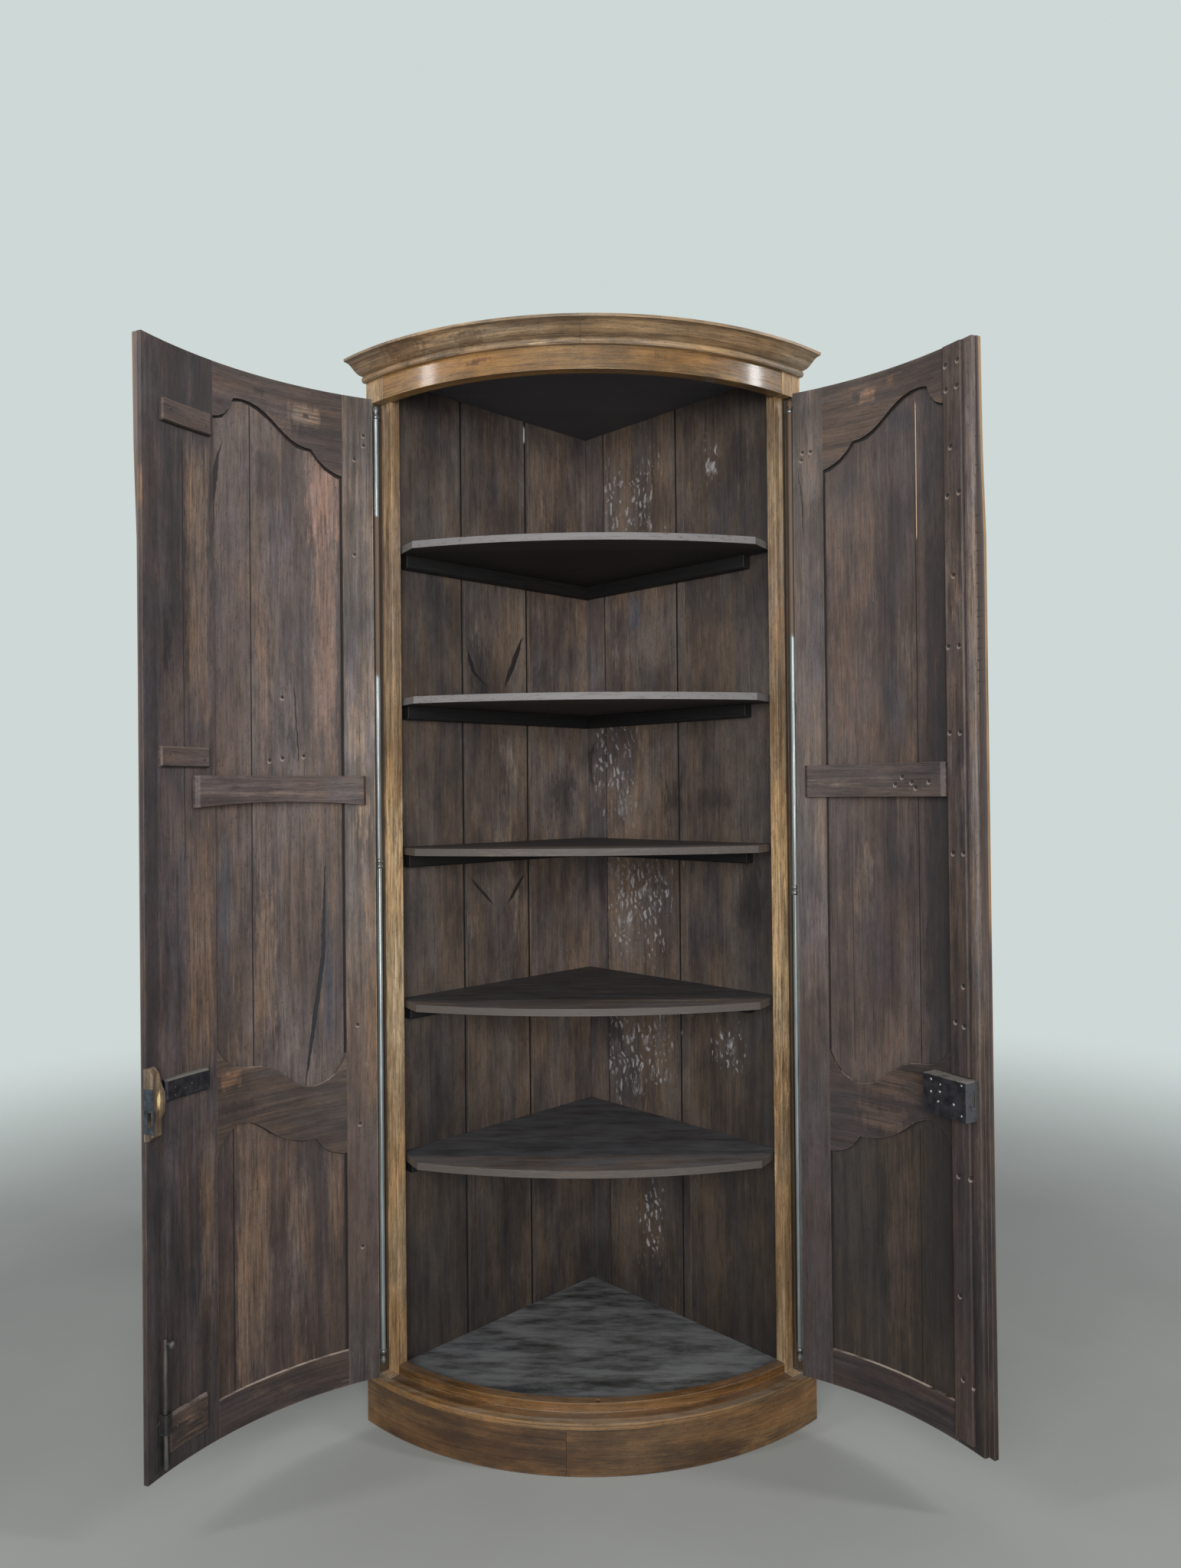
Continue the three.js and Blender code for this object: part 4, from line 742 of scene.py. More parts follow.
def iron(name, dark, mid, light, rust="4a3426", rust_share=0.3, rough=0.5, metal=0.85, grain=60.0,
         stretch=1.0, brown=None, relief=0.4, faces=(), axis=None):
    """Forged iron: clouded grey with rubbed edges and brown rust. Brown is a height range that is
    brown all over; faces that look along a direction take a tone, which on the lock's end is
    painted light; away from an upright axis (its place and a radius) the iron is dark, a painted
    shade that stands for the dark gap beside a hinge rod."""
    material, tree, shader = start_material(name)
    place = object_place(tree)
    cloud = clouds(tree, stretched(tree, place, (grain, grain, grain * stretch)), detail=5.0,
                   rough=0.62)
    pits = clouds(tree, stretched(tree, place, (420.0, 420.0, 420.0 * stretch)), detail=3.0)
    colour = mixed(tree, between(tree, cloud, 0.32, 0.66), tone(dark), tone(mid))
    rusty = clouds(tree, stretched(tree, place, (26.0, 26.0, 9.0), move=(2, 5, 1)), detail=5.0,
                   rough=0.7)
    shift = 0.0
    if brown:
        height = put(tree, "ShaderNodeSeparateXYZ", {0: place}).outputs[2]
        shift = times(tree, between(tree, height, brown[0] - 0.05, brown[0] + 0.05),
                      between(tree, height, brown[1] + 0.03, brown[1] - 0.03))
        shift = times(tree, shift, 0.6)
    rusty = between(tree, plus(tree, rusty, shift), 0.72 - rust_share * 0.35, 0.82)
    colour = toned(tree, rusty, colour, rust)
    looks = put(tree, "ShaderNodeTexCoord").outputs["Normal"]
    for direction, code, share in faces:
        facing = put(tree, "ShaderNodeVectorMath", {0: looks, 1: direction},
                     operation="DOT_PRODUCT").outputs["Value"]
        facing = times(tree, between(tree, facing, 0.45, 0.8), share)
        facing = times(tree, facing, between(tree, cloud, 0.2, 0.5))
        colour = toned(tree, facing, colour, code)
    edge = use_group(tree, edge_wear_group, reach=0.0012, breakup=0.4)["Wear"]
    colour = toned(tree, times(tree, edge, 0.7), colour, light)
    # Painted shade: away from the rod's axis the hinge leaf is dark, for the dark gap beside the
    # rod.
    if axis:
        (across, forward), radius, code = axis
        flat = put(tree, "ShaderNodeVectorMath", {0: place, 1: (1.0, 1.0, 0.0)},
                   operation="MULTIPLY").outputs[0]
        away = put(tree, "ShaderNodeVectorMath", {0: flat, 1: (across, forward, 0.0)},
                   operation="DISTANCE").outputs["Value"]
        beyond = between(tree, away, radius, radius + 0.0006)
        colour = toned(tree, beyond, colour, code)
        metal = times(tree, minus(tree, 1.0, beyond), metal)
    gloss = plus(tree, times(tree, rusty, 0.3), times(tree, pits, 0.25))
    gloss = plus(tree, gloss, rough - 0.12, clamp=True)
    metallic = minus(tree, metal, times(tree, rusty, 0.6), clamp=True)
    height = plus(tree, times(tree, pits, 0.5), times(tree, cloud, 0.8))
    bump = put(tree, "ShaderNodeBump", {"Strength": relief, "Distance": 0.0008, "Height": height})
    tree.links.new(colour, shader.inputs["Base Color"])
    tree.links.new(gloss, shader.inputs["Roughness"])
    tree.links.new(metallic, shader.inputs["Metallic"])
    tree.links.new(bump.outputs[0], shader.inputs["Normal"])
    return material


# Finishes of the nodes

left_bow = ("bow", door_centre(LEFT))
right_bow = ("bow", door_centre(RIGHT))
front_bow = ("bow", carcass_centre)
outer_frame = (0.6838, "634626", "8a6538")
outer_panel = (0.6745, "5f4224", "8e683a")
# The rails' and battens' faces that look down take painted shade.
rail_looks = dict(outside=outer_frame, dust=1.4, dust_tone="b9a99c", wear_tone="8c735c",
                  scratches=0.3, under="16110f")
batten_looks = dict(streak=0.65, dust=0.95, wear=0.7, wear_tone="8f7a63", under="14100f")
black_iron = dict(dark="1d1d20", mid="343439", light="8c8c90", rust="3a2c24", rust_share=0.25,
                  rough=0.5, metal=0.45)
wall_tones = dict(dark="3f3735", mid="66594f", light="7a6c60", contrast=0.75, streak=0.35,
                  level=1.0, foot=(0.4, 1.1))


def door_seam(side, bearing, low, high, width=0.0016, code="15100e"):
    return (along_door(side, bearing), low, high, width, code)


def door_mark(side, bearing, height, half_width, half_height, ragged, code, strength):
    """One mark: a stained patch or paler board, and in a few places a patch of painted shade or
    painted light. Its place was picked in the photograph and converted like the pegs. Its tone
    was chosen, and most tones were then adjusted against medians measured in the photograph and
    in renders."""
    return ((along_door(side, bearing), height), (half_width, half_height), ragged, code, strength)


def door_line(side, points):
    return [(along_door(side, bearing), height) for bearing, height in points]


def door_holes(side, spots, radius):
    return [(along_door(side, bearing), height, radius) for bearing, height in spots]


def in_oak(node, setting, direction, seed, *tones, name=None, bevel=0.0009, **looks):
    """Dresses a node in its own oak, which is named after it unless a name is given."""
    name = name or node.replace("_", " ") + " oak"
    worn_copy(node, oak(name, setting, direction, seed, *tones, **looks), bevel=bevel)


def dress_left_door():
    """The left door's frame members and panels, each in its own oak."""
    in_oak(
        "left_upper_panel", left_bow, "up", 1, "463b38", "6f5f56", "86705e", patch=0.35,
        streak=0.55, outside=outer_panel, scratches=0.2, level=0.80,
        seams=[door_seam(LEFT, 17.2, 0.70, 2.14, 0.0019)],
        cracks=[(door_line(LEFT, [(31.0, 1.26), (30.65, 1.208), (30.2, 1.019), (28.4, 0.878),
                                  (26.9, 0.768), (26.6, 0.70)]), 0.0048, "15171d"),
                (door_line(LEFT, [(12.6, 2.075), (11.3, 2.03), (9.98, 1.93), (9.9, 1.80)]),
                 0.0062, "1f1b1b"),
                (door_line(LEFT, [(25.0, 1.62), (25.6, 1.50), (26.2, 1.39)]), 0.0014, "1c1614")],
        holes=door_holes(LEFT, [(20.6, 1.43), (23.0, 1.435), (26.9, 1.44), (23.0, 1.56)], 0.004),
        marks=[door_mark(LEFT, 31.0, 1.74, 0.026, 0.32, 0.7, "8b7062", 0.55),
               door_mark(LEFT, 19.4, 1.46, 0.020, 0.42, 0.6, "846b5b", 0.5),
               door_mark(LEFT, 19.6, 1.02, 0.026, 0.19, 0.45, "836a57", 0.75),
               # Painted shade: the long dark area near the meeting stile.
               door_mark(LEFT, 13.4, 1.55, 0.040, 0.62, 0.25, "5f5250", 0.7),
               door_mark(LEFT, 22.3, 1.87, 0.036, 0.10, 0.7, "655958", 0.8),
               door_mark(LEFT, 23.5, 1.52, 0.030, 0.17, 0.8, "6f625c", 0.6),
               door_mark(LEFT, 31.2, 2.02, 0.040, 0.16, 0.5, "9c7a68", 0.8),
               door_mark(LEFT, 12.0, 1.17, 0.014, 0.16, 0.4, "4c4b50", 0.8),
               door_mark(LEFT, 12.4, 0.92, 0.030, 0.10, 0.7, "383233", 0.75),
               door_mark(LEFT, 31.0, 1.0, 0.010, 0.18, 0.6, "3f444f", 0.6),
               door_mark(LEFT, 20.0, 2.04, 0.026, 0.022, 0.6, "3e3431", 0.7),
               door_mark(LEFT, 24.4, 1.70, 0.016, 0.05, 0.9, "4c4343", 0.7),
               door_mark(LEFT, 24.8, 1.47, 0.010, 0.035, 0.9, "2b2424", 0.7)])
    in_oak(
        "left_lower_panel", left_bow, "up", 2, "382c2a", "5c4b43", "7b614c", patch=0.35,
        foot=(0.75, 0.7), streak=0.55, outside=outer_panel, scratches=0.35, level=0.76,
        seams=[door_seam(LEFT, 13.3, 0.18, 0.70, 0.0018)],
        marks=[door_mark(LEFT, 17.0, 0.44, 0.036, 0.30, 0.3, "77604e", 0.85),
               door_mark(LEFT, 32.0, 0.55, 0.018, 0.20, 0.4, "76604f", 0.6),
               door_mark(LEFT, 25.0, 0.45, 0.020, 0.14, 0.9, "8d8078", 0.25),
               door_mark(LEFT, 11.4, 0.60, 0.018, 0.12, 0.3, "463a39", 0.7),
               door_mark(LEFT, 14.9, 0.34, 0.016, 0.17, 0.4, "8c6f59", 0.75)])
    in_oak(
        "left_hinge_stile", left_bow, "up", 11, "50463f", "80726a", "95806c", patch=0.35,
        foot=(0.45, 1.2), streak=0.6, contrast=1.2, level=0.86, outside=outer_frame,
        wear_tone="b5986f", scratches=0.3,
        holes=door_holes(LEFT, [(38.2, 2.127), (38.2, 2.106), (36.5, 2.074), (36.4, 1.87),
                                (36.3, 0.87), (36.9, 0.40), (36.6, 0.66)], 0.0036),
        marks=[door_mark(LEFT, 37.0, 0.50, 0.05, 0.52, 0.35, "5c4a44", 0.85),
               door_mark(LEFT, 36.0, 1.62, 0.014, 0.09, 0.7, "53505c", 0.6),
               door_mark(LEFT, 38.8, 0.95, 0.012, 0.30, 0.4, "8a6d52", 0.5),
               door_mark(LEFT, 39.86, 1.15, 0.0016, 1.2, 0.1, "ab8f6c", 1.0)])
    in_oak(
        "left_meeting_stile", left_bow, "up", 12, "352d2e", "5b4f4d", "705c4d", patch=0.4,
        foot=(0.7, 0.6), streak=0.55, outside=outer_frame, wear=0.9, level=0.77,
        wear_tone="a9834f",
        rim=(0.6722, "675a54", 0.0),
        seams=[door_seam(LEFT, 4.0, 1.24, 2.03, 0.0012)],
        marks=[door_mark(LEFT, 6.7, 1.93, 0.030, 0.12, 0.3, "7d6755", 0.85),
               door_mark(LEFT, 6.9, 1.72, 0.028, 0.24, 0.35, "7b6453", 0.75),
               door_mark(LEFT, 6.8, 1.05, 0.029, 0.27, 0.25, "77604f", 0.85),
               door_mark(LEFT, -4.3, 1.925, 0.0030, 0.045, 0.7, "96734e", 0.7),
               door_mark(LEFT, 8.0, 0.55, 0.018, 0.24, 0.4, "6f5846", 0.7),
               door_mark(LEFT, 0.8, 1.65, 0.011, 0.075, 0.8, "1c191e", 0.9),
               door_mark(LEFT, -2.6, 1.0, 0.018, 1.10, 0.25, "26232a", 0.75),
               door_mark(LEFT, 7.6, 0.33, 0.010, 0.07, 0.9, "241c1c", 0.7)])
    in_oak(
        "left_top_rail", left_bow, "along", 13, "40342f", "64524a", "7c6656", patch=0.4,
        streak=0.6, level=0.76, **rail_looks,
        marks=[door_mark(LEFT, 27.3, 2.148, 0.034, 0.024, 0.4, "8f7a69", 0.85),
               door_mark(LEFT, 27.5, 2.148, 0.006, 0.006, 0.5, "2b2422", 0.9),
               door_mark(LEFT, 18.7, 2.177, 0.012, 0.008, 0.6, "2c2725", 0.85),
               door_mark(LEFT, 20.0, 2.12, 0.06, 0.02, 0.6, "7f6453", 0.5)])
    in_oak(
        "left_mid_rail", left_bow, "along", 14, "3a2f2b", "594a42", "745f4f", patch=0.4,
        streak=0.6, level=0.77, **rail_looks,
        marks=[door_mark(LEFT, 12.5, 0.80, 0.022, 0.018, 0.6, "80634d", 0.8),
               door_mark(LEFT, 13.5, 0.745, 0.045, 0.012, 0.8, "2f2625", 0.7),
               door_mark(LEFT, 20.5, 0.80, 0.05, 0.010, 0.5, "453f43", 0.7)])
    in_oak(
        "left_bottom_rail", left_bow, "along", 15, "332826", "51423c", "6e5848", patch=0.4,
        streak=0.6, level=0.68, **rail_looks)
    in_oak(
        "left_batten", left_bow, "along", 16, "3f3432", "6b5a51", "86705f", patch=0.4,
        dust_tone="a08e82", **batten_looks,
        cracks=[([(along_door(LEFT, 33.0), 1.3905), (along_door(LEFT, 30.0), 1.3895)],
                 0.0016, "1c1614")],
        marks=[door_mark(LEFT, 33.5, 1.37, 0.045, 0.030, 0.4, "4d494b", 0.8)])


def dress_right_door():
    """The right door's frame members and panels, each in its own oak."""
    in_oak(
        "right_upper_panel", right_bow, "up", 3, "403533", "64554e", "7a6556", patch=0.35,
        streak=0.55, outside=outer_panel, scratches=0.2, level=0.66,
        seams=[door_seam(RIGHT, 16.8, 0.72, 1.84, 0.0018),
               door_seam(RIGHT, 16.5, 1.86, 2.12, 0.0013, "b89c7c"),
               door_seam(RIGHT, 29.6, 0.80, 1.30, 0.0008)],
        # Painted shade: the dark band beside the meeting stile.
        marks=[door_mark(RIGHT, 12.6, 1.40, 0.036, 0.95, 0.25, "2a2629", 0.95),
               door_mark(RIGHT, 29.5, 1.66, 0.050, 0.30, 0.7, "775f51", 0.45),
               door_mark(RIGHT, 19.0, 1.50, 0.026, 0.28, 0.5, "78614f", 0.5),
               door_mark(RIGHT, 27.5, 1.16, 0.020, 0.08, 0.8, "8c7765", 0.55),
               door_mark(RIGHT, 21.0, 1.52, 0.030, 0.10, 0.6, "48464c", 0.7),
               door_mark(RIGHT, 24.0, 1.02, 0.050, 0.16, 0.5, "4a3d3b", 0.6),
               door_mark(RIGHT, 30.5, 2.02, 0.030, 0.05, 0.5, "3f3838", 0.6),
               door_mark(RIGHT, 19.0, 2.10, 0.034, 0.03, 0.5, "3e3a40", 0.7)])
    in_oak(
        "right_lower_panel", right_bow, "up", 4, "29231f", "45392f", "5e4d3d", patch=0.4,
        streak=0.55, outside=outer_panel, scratches=0.25, level=0.64,
        seams=[door_seam(RIGHT, 17.3, 0.18, 0.68, 0.0016)],
        marks=[door_mark(RIGHT, 21.0, 0.44, 0.030, 0.22, 0.5, "574740", 0.6),
               # Painted shade: the dark band beside the meeting stile.
               door_mark(RIGHT, 12.9, 0.50, 0.036, 0.30, 0.2, "201b1d", 0.8)])
    in_oak(
        "right_hinge_stile", right_bow, "up", 31, "463d39", "6d6059", "83705f", patch=0.35,
        foot=(0.5, 1.1), streak=0.6, contrast=1.1, outside=outer_frame,
        wear_tone="a98a62", scratches=0.25, level=0.82,
        seams=[door_seam(RIGHT, 33.9, 1.42, 1.95, 0.0014, "b59a80")],
        holes=door_holes(RIGHT, [(38.0, 2.078), (36.5, 2.077), (38.2, 2.062)], 0.0036),
        cracks=[(door_line(RIGHT, [(39.2, 2.06), (38.2, 1.98), (38.0, 1.90), (38.4, 1.86)]),
                 0.0012, "1c1614")],
        marks=[door_mark(RIGHT, 36.9, 1.63, 0.045, 0.16, 0.5, "5a5256", 0.55),
               door_mark(RIGHT, 37.0, 0.50, 0.05, 0.60, 0.35, "4d403e", 0.85),
               door_mark(RIGHT, 36.2, 1.05, 0.030, 0.14, 0.5, "6a5a56", 0.6),
               door_mark(RIGHT, 39.86, 1.15, 0.0014, 1.2, 0.1, "94806a", 0.9)])
    in_oak(
        "right_meeting_stile", right_bow, "up", 32, "3a3131", "605350", "78624f", patch=0.4,
        foot=(0.3, 1.4), streak=0.55, outside=outer_frame, wear=0.9, level=0.86,
        wear_tone="a58a6c", rim=(0.6785, "8d6e4b", 1.15),
        band=(0.6715, 0.6785, "3a3230"), ticks=[(0.6690, lip_notches)],
        marks=[door_mark(RIGHT, 4.9, 1.45, 0.013, 0.80, 0.2, "7c6f66", 0.8),
               door_mark(RIGHT, 5.0, 0.45, 0.012, 0.35, 0.3, "5f5149", 0.8),
               door_mark(RIGHT, 8.0, 0.45, 0.040, 0.36, 0.4, "2f2626", 0.6)])
    in_oak(
        "right_top_rail", right_bow, "along", 33, "3a302c", "57483f", "6f5b4c", patch=0.4,
        streak=0.6, level=0.9, **rail_looks,
        marks=[door_mark(RIGHT, 27.2, 2.172, 0.016, 0.014, 0.6, "2f2c2e", 0.85),
               door_mark(RIGHT, 25.6, 2.166, 0.018, 0.014, 0.6, "8a6a50", 0.7),
               door_mark(RIGHT, 21.0, 2.184, 0.008, 0.012, 0.6, "7d5b44", 0.6)])
    in_oak(
        "right_mid_rail", right_bow, "along", 34, "2a2322", "3d3230", "544439", patch=0.4,
        streak=0.6, level=0.84, **rail_looks,
        marks=[door_mark(RIGHT, 22.0, 0.75, 0.09, 0.018, 0.7, "5c483c", 0.4),
               # Painted light: the paler patch at 24 degrees.
               door_mark(RIGHT, 24.0, 0.69, 0.06, 0.03, 0.6, "604c40", 0.6),
               # Painted shade: the dark patch near the meeting stile.
               door_mark(RIGHT, 12.0, 0.70, 0.05, 0.12, 0.4, "1f1a19", 0.9)])
    in_oak(
        "right_bottom_rail", right_bow, "along", 35, "292120", "423633", "5a4a40",
        patch=0.4, streak=0.6, level=0.82, **rail_looks)
    in_oak(
        "right_batten", right_bow, "along", 36, "322b2b", "524845", "675a52", patch=0.35,
        dust_tone="a38f80", **batten_looks,
        holes=door_holes(RIGHT, [(18.7, 1.384), (16.8, 1.373), (20.1, 1.369), (13.3, 1.374),
                                 (16.0, 1.362)], 0.004))


def dress_carcass():
    """Walls, shelves, frame and mouldings."""
    corner_joint = (0.085, 0.1, 2.3, 0.0026, "080606")
    # Painted light: the corner post's high level matches the walls' lighter corner ends.
    in_oak(
        "rear_corner_post", ("wall", RIGHT), "up", 41, "3b3534", "5a504c", "6a5e56", patch=0.35,
        contrast=0.6, level=1.45, foot=(0.4, 1.1), seams=[corner_joint],
        paste=[((0.075, 1.44), (0.03, 0.10))],
        marks=[((0.02, 1.43), (0.02, 0.07), 0.8, "0c0c0e", 0.8)], name="corner post oak")
    paste_spots = [((0.16, 2.08), (0.085, 0.085)), ((0.12, 1.42), (0.055, 0.12)),
                   ((0.19, 1.08), (0.085, 0.11)), ((0.17, 0.725), (0.10, 0.10)),
                   ((0.47, 0.77), (0.035, 0.05)), ((0.23, 0.30), (0.03, 0.08)),
                   ((0.33, 0.86), (0.05, 0.03)), ((0.44, 2.12), (0.014, 0.04))]
    # Painted light and shade: the right wall boards are lighter near the corner and darker towards
    # the post.
    for number, seed in ((1, 42), (2, 43)):
        in_oak(
            f"right_wall_board_{number}", ("wall", RIGHT), "up", seed, **wall_tones,
            patch=0.4, scratches=0.2, paste=paste_spots, fade=((0.1, 1.5), (0.56, 0.55)),
            seams=[corner_joint, (right_wall_joint, 0.1, 2.3, 0.0034, "060505")],
            marks=[((0.31, 1.345), (0.030, 0.040), 0.9, "191616", 0.75),
                   ((0.44, 1.34), (0.050, 0.030), 0.9, "1d1a1b", 0.6),
                   ((0.54, 1.12), (0.035, 0.090), 0.8, "1a1819", 0.7),
                   ((0.19, 1.80), (0.022, 0.050), 0.8, "4f5761", 0.6),
                   ((0.24, 1.63), (0.060, 0.045), 0.7, "2b2828", 0.6),
                   ((0.10, 0.77), (0.030, 0.050), 0.8, "1d1a1a", 0.5)])
    joints = [(along, 0.1, 2.3, 0.0034, "060505") for along in left_wall_joints]
    # Painted light: the pale line near the head of the first joint stands for light seen through
    # the slit.
    joints.append((0.2325, 2.229, 2.258, 0.0030, "e8efe8"))
    # Painted light and shade: the left wall boards are lighter near the corner and darker towards
    # the front.
    for number, seed in ((1, 44), (2, 45), (3, 46)):
        in_oak(
            f"left_wall_board_{number}", ("wall", LEFT), "up", seed, **wall_tones,
            patch=0.42, scratches=0.2, seams=joints, fade=((0.1, 1.5), (0.5, 0.8)),
            cracks=[([(0.415, 1.70), (0.395, 1.645), (0.345, 1.605)], 0.0060, "1b1716"),
                    ([(0.240, 1.75), (0.265, 1.690), (0.305, 1.605)], 0.0080, "241f1d"),
                    ([(0.415, 1.165), (0.335, 1.085)], 0.0050, "1f1a18"),
                    ([(0.240, 1.165), (0.300, 1.085)], 0.0060, "221d1b")],
            marks=[((0.385, 1.66), (0.03, 0.07), 0.8, "1b1818", 0.6),
                   ((0.25, 1.20), (0.02, 0.05), 0.8, "1b1818", 0.6),
                   ((0.11, 1.355), (0.040, 0.065), 0.8, "1b1818", 0.7),
                   ((0.18, 1.64), (0.040, 0.050), 0.8, "2c2a2b", 0.6)])
    in_oak(
        "floor_board", ("plain", None), "along", 51, "2c2c2d", "4e4f50", "66625d", patch=0.5,
        streak=0.35, dust=0.75, dust_tone="858687", scratches=0.8, level=0.66)
    # The top board's underside takes painted shade.
    in_oak(
        "top_board", ("plain", None), "along", 52, **wall_tones,
        under="4a4a50")
    for number in range(1, 6):
        # The shelves' undersides take painted shade.
        in_oak(
            f"shelf_{number}", ("plain", None), "along", 52 + number, "3b332e", "5a4e46",
            "72655a", patch=0.5, dust=(0.1, 0.1, 0.1, 0.28, 0.6)[number - 1],
            dust_tone="717073" if number < 4 else "5d5e62", wear=0.5, wear_tone="8b8278",
            scratches=0.6, front="716e6d" if number < 3 else "4c4541", under="151313",
            # The back of each shelf top takes painted shade.
            stain=(-0.470, "15171b" if number < 5 else "24262a", 0.92), level=1.6)
        for side, word in ((LEFT, "left"), (RIGHT, "right")):
            # The cleats' undersides take painted shade.
            in_oak(
                f"{word}_cleat_{number}", ("wall", side), "along", 60 + number + side,
                "121010", "1d1a18", "2c2623", dust=0.06, under="0d0c0c", level=0.45)
    for side, word in ((LEFT, "left"), (RIGHT, "right")):
        in_oak(
            f"{word}_post", front_bow, "up", 70 + side, "6a5339", "967d5d", "b49a74",
            patch=0.5, streak=0.55, rough=0.5, wear_tone="bfa27a", coat=0.1, contrast=1.3,
            level=1.3 if side == LEFT else 1.12, scratches=0.4,
            # The post's rebate beside the hinge rod takes painted shade.
            groove=(side, 0.4915 if side == LEFT else 0.4845, 0.684, "2e261d"),
            marks=[((side * post_face, 1.05), (0.04, 0.34), 0.7, "b39a76", 0.7),
                   ((side * post_face, 2.16), (0.05, 0.06), 0.7, "6e5a48", 0.7),
                   ((side * post_face, 1.78), (0.03, 0.22), 0.8, "786556", 0.6)])
        in_oak(
            f"cornice_{word}", front_bow, "along", 75, "58493a", "8c765a", "a9906f",
            patch=0.5, rough=0.5, wear_tone="b49f80", dust=0.25, coat=0.1, contrast=1.3,
            streak=0.4, level=1.25, scratches=0.4,
            marks=[((-0.36, 2.285), (0.05, 0.02), 1.0, "4a3626", 0.7),
                   ((-0.22, 2.279), (0.03, 0.012), 1.0, "4a3022", 0.6),
                   ((0.52, 2.28), (0.10, 0.05), 0.8, "7a7062", 0.6)],
            name=f"{word} cornice oak", bevel=0.0006)
        in_oak(
            f"plinth_{word}", front_bow, "along", 80 + side, "402c19", "6f5130", "8e6d45",
            patch=0.3, rough=0.55, wear=0.8, wear_tone="8f775a", scratches=0.5, contrast=0.8,
            streak=0.25, name=f"{word} plinth oak")
    in_oak(
        "frieze_rail", front_bow, "along", 90, "62451f", "8c6634", "a88048", patch=0.5, rough=0.4,
        wear_tone="ae8b54", coat=0.5, coat_rough=0.13, contrast=1.0, streak=0.35, level=0.96,
        scratches=0.4,
        marks=[((-0.205, 2.245), (0.020, 0.006), 1.0, "5a3018", 0.7),
               ((-0.225, 2.240), (0.012, 0.004), 1.0, "4d2814", 0.7),
               ((0.16, 2.243), (0.012, 0.012), 1.2, "4a3020", 0.6),
               ((0.02, 2.233), (0.02, 0.004), 1.0, "4a3020", 0.5)],
        name="frieze oak")
    in_oak(
        "plinth_moulding", front_bow, "along", 91, "563d1d", "8a673a", "a68251", patch=0.5,
        rough=0.55, dust=0.5, dust_tone="94897b", wear=0.9, wear_tone="a89a84",
        name="plinth bead oak", bevel=0.0004)
    in_oak(
        "bottom_rail", front_bow, "along", 92, "4a3217", "77542c", "94703e", patch=0.5,
        rough=0.42, wear=0.9, wear_tone="cbb592", dust=0.15, coat=0.05, contrast=1.2)


def dress_hardware():
    """Strips, blocks and ironwork."""
    for word in ("upper", "lower"):
        in_oak(
            f"cover_strip_{word}", right_bow, "up", 95, "332a27", "524540", "6a594d",
            patch=0.45, streak=0.5, contrast=1.2, holes=door_holes(RIGHT, strip_pegs, 0.0042),
            marks=[door_mark(RIGHT, 8.0, 0.45, 0.040, 0.36, 0.4, "2f2627", 0.7)],
            name=f"{word} cover strip oak")
    # The strike block's underside takes painted shade.
    in_oak(
        "strike_block", left_bow, "up", 97, "4f453b", "82725f", "98846b", patch=0.5,
        streak=0.5, wear=0.4, wear_tone="8f7a5c", contrast=1.3, level=0.9, under="2a231d",
        marks=[door_mark(LEFT, -2.6, 0.765, 0.012, 0.020, 0.7, "4a3f38", 0.7),
               door_mark(LEFT, -3.3, 0.806, 0.0042, 0.017, 0.5, "e8cf96", 1.1),
               door_mark(LEFT, -4.2, 0.780, 0.006, 0.014, 0.2, "1d1916", 0.9)])
    for word, brown in (("left", (1.61, 1.96)), ("right", (1.69, 2.30))):
        side = LEFT if word == "left" else RIGHT
        # Away from the rod's axis the hinge iron takes painted shade.
        rod = iron(f"{word} rod iron", "6f7678", "969e9f", "c6ccca", rust="665344",
                   rust_share=0.16, rough=0.34, metal=0.5, grain=90.0, stretch=0.06,
                   brown=brown, axis=((side * pin_across, pin_forward), 0.0056, "241c17"))
        for part in ("lower", "upper"):
            worn_copy(f"{word}_hinge_{part}", rod, bevel=0.0002, smooth=40)
    # Painted light: the lock's end face takes a paler grey.
    end = door_outward(RIGHT, lock_angle - 90.0)
    worn_copy("lock_case", iron(
        "lock iron", **black_iron,
        faces=[(tuple(-end), "545458", 0.9), ((0.0, 0.0, 1.0), "a9a29b", 0.85)]), bevel=0.0005)
    worn_copy("keeper", iron("keeper iron", "2a2e33", "485057", "7b8287", rust_share=0.1,
                             rough=0.52, metal=0.5), bevel=0.0004)
    worn_copy("bolt_guide", iron("guide iron", "131211", "242120", "85817b", rust="2a201a",
                                 rust_share=0.2, rough=0.6, metal=0.1), bevel=0.0004)
    grey = iron("bolt iron", "3b3836", "66625e", "aca8a2", rust="46342a", rust_share=0.35,
                rough=0.42, metal=0.5, stretch=0.2)
    worn_copy("floor_bolt", grey, bevel=0.0002, smooth=40)
    worn_copy("lock_bolt", grey, bevel=0.0003)


dress_left_door()
dress_right_door()
dress_carcass()
dress_hardware()


# Pieces of the doors

def short_cleats():
    """Three short pieces nailed over the joints of the left meeting stile."""
    spans = (("short_cleat_top", -0.6, 9.2, 2.056, 2.100, 21),
             ("short_cleat_middle", -1.2, 8.5, 1.413, 1.452, 22),
             ("short_cleat_foot", -0.35, 7.4, 0.150, 0.219, 23))
    for name, start, end, low, high, seed in spans:
        # The short cleats' undersides take painted shade.
        finish = oak(name.replace("_", " ") + " oak", left_bow, "along", seed, "2b2322", "544641",
                     "715c4d", patch=0.4, dust=0.8, wear=0.7, wear_tone="8f7a63", under="100c0b")
        piece = chamfered_bar(name, LEFT, start, end, low, high, short_cleat_thickness, 0.003)
        finished(piece, "left_leaf", finish, smooth=30)


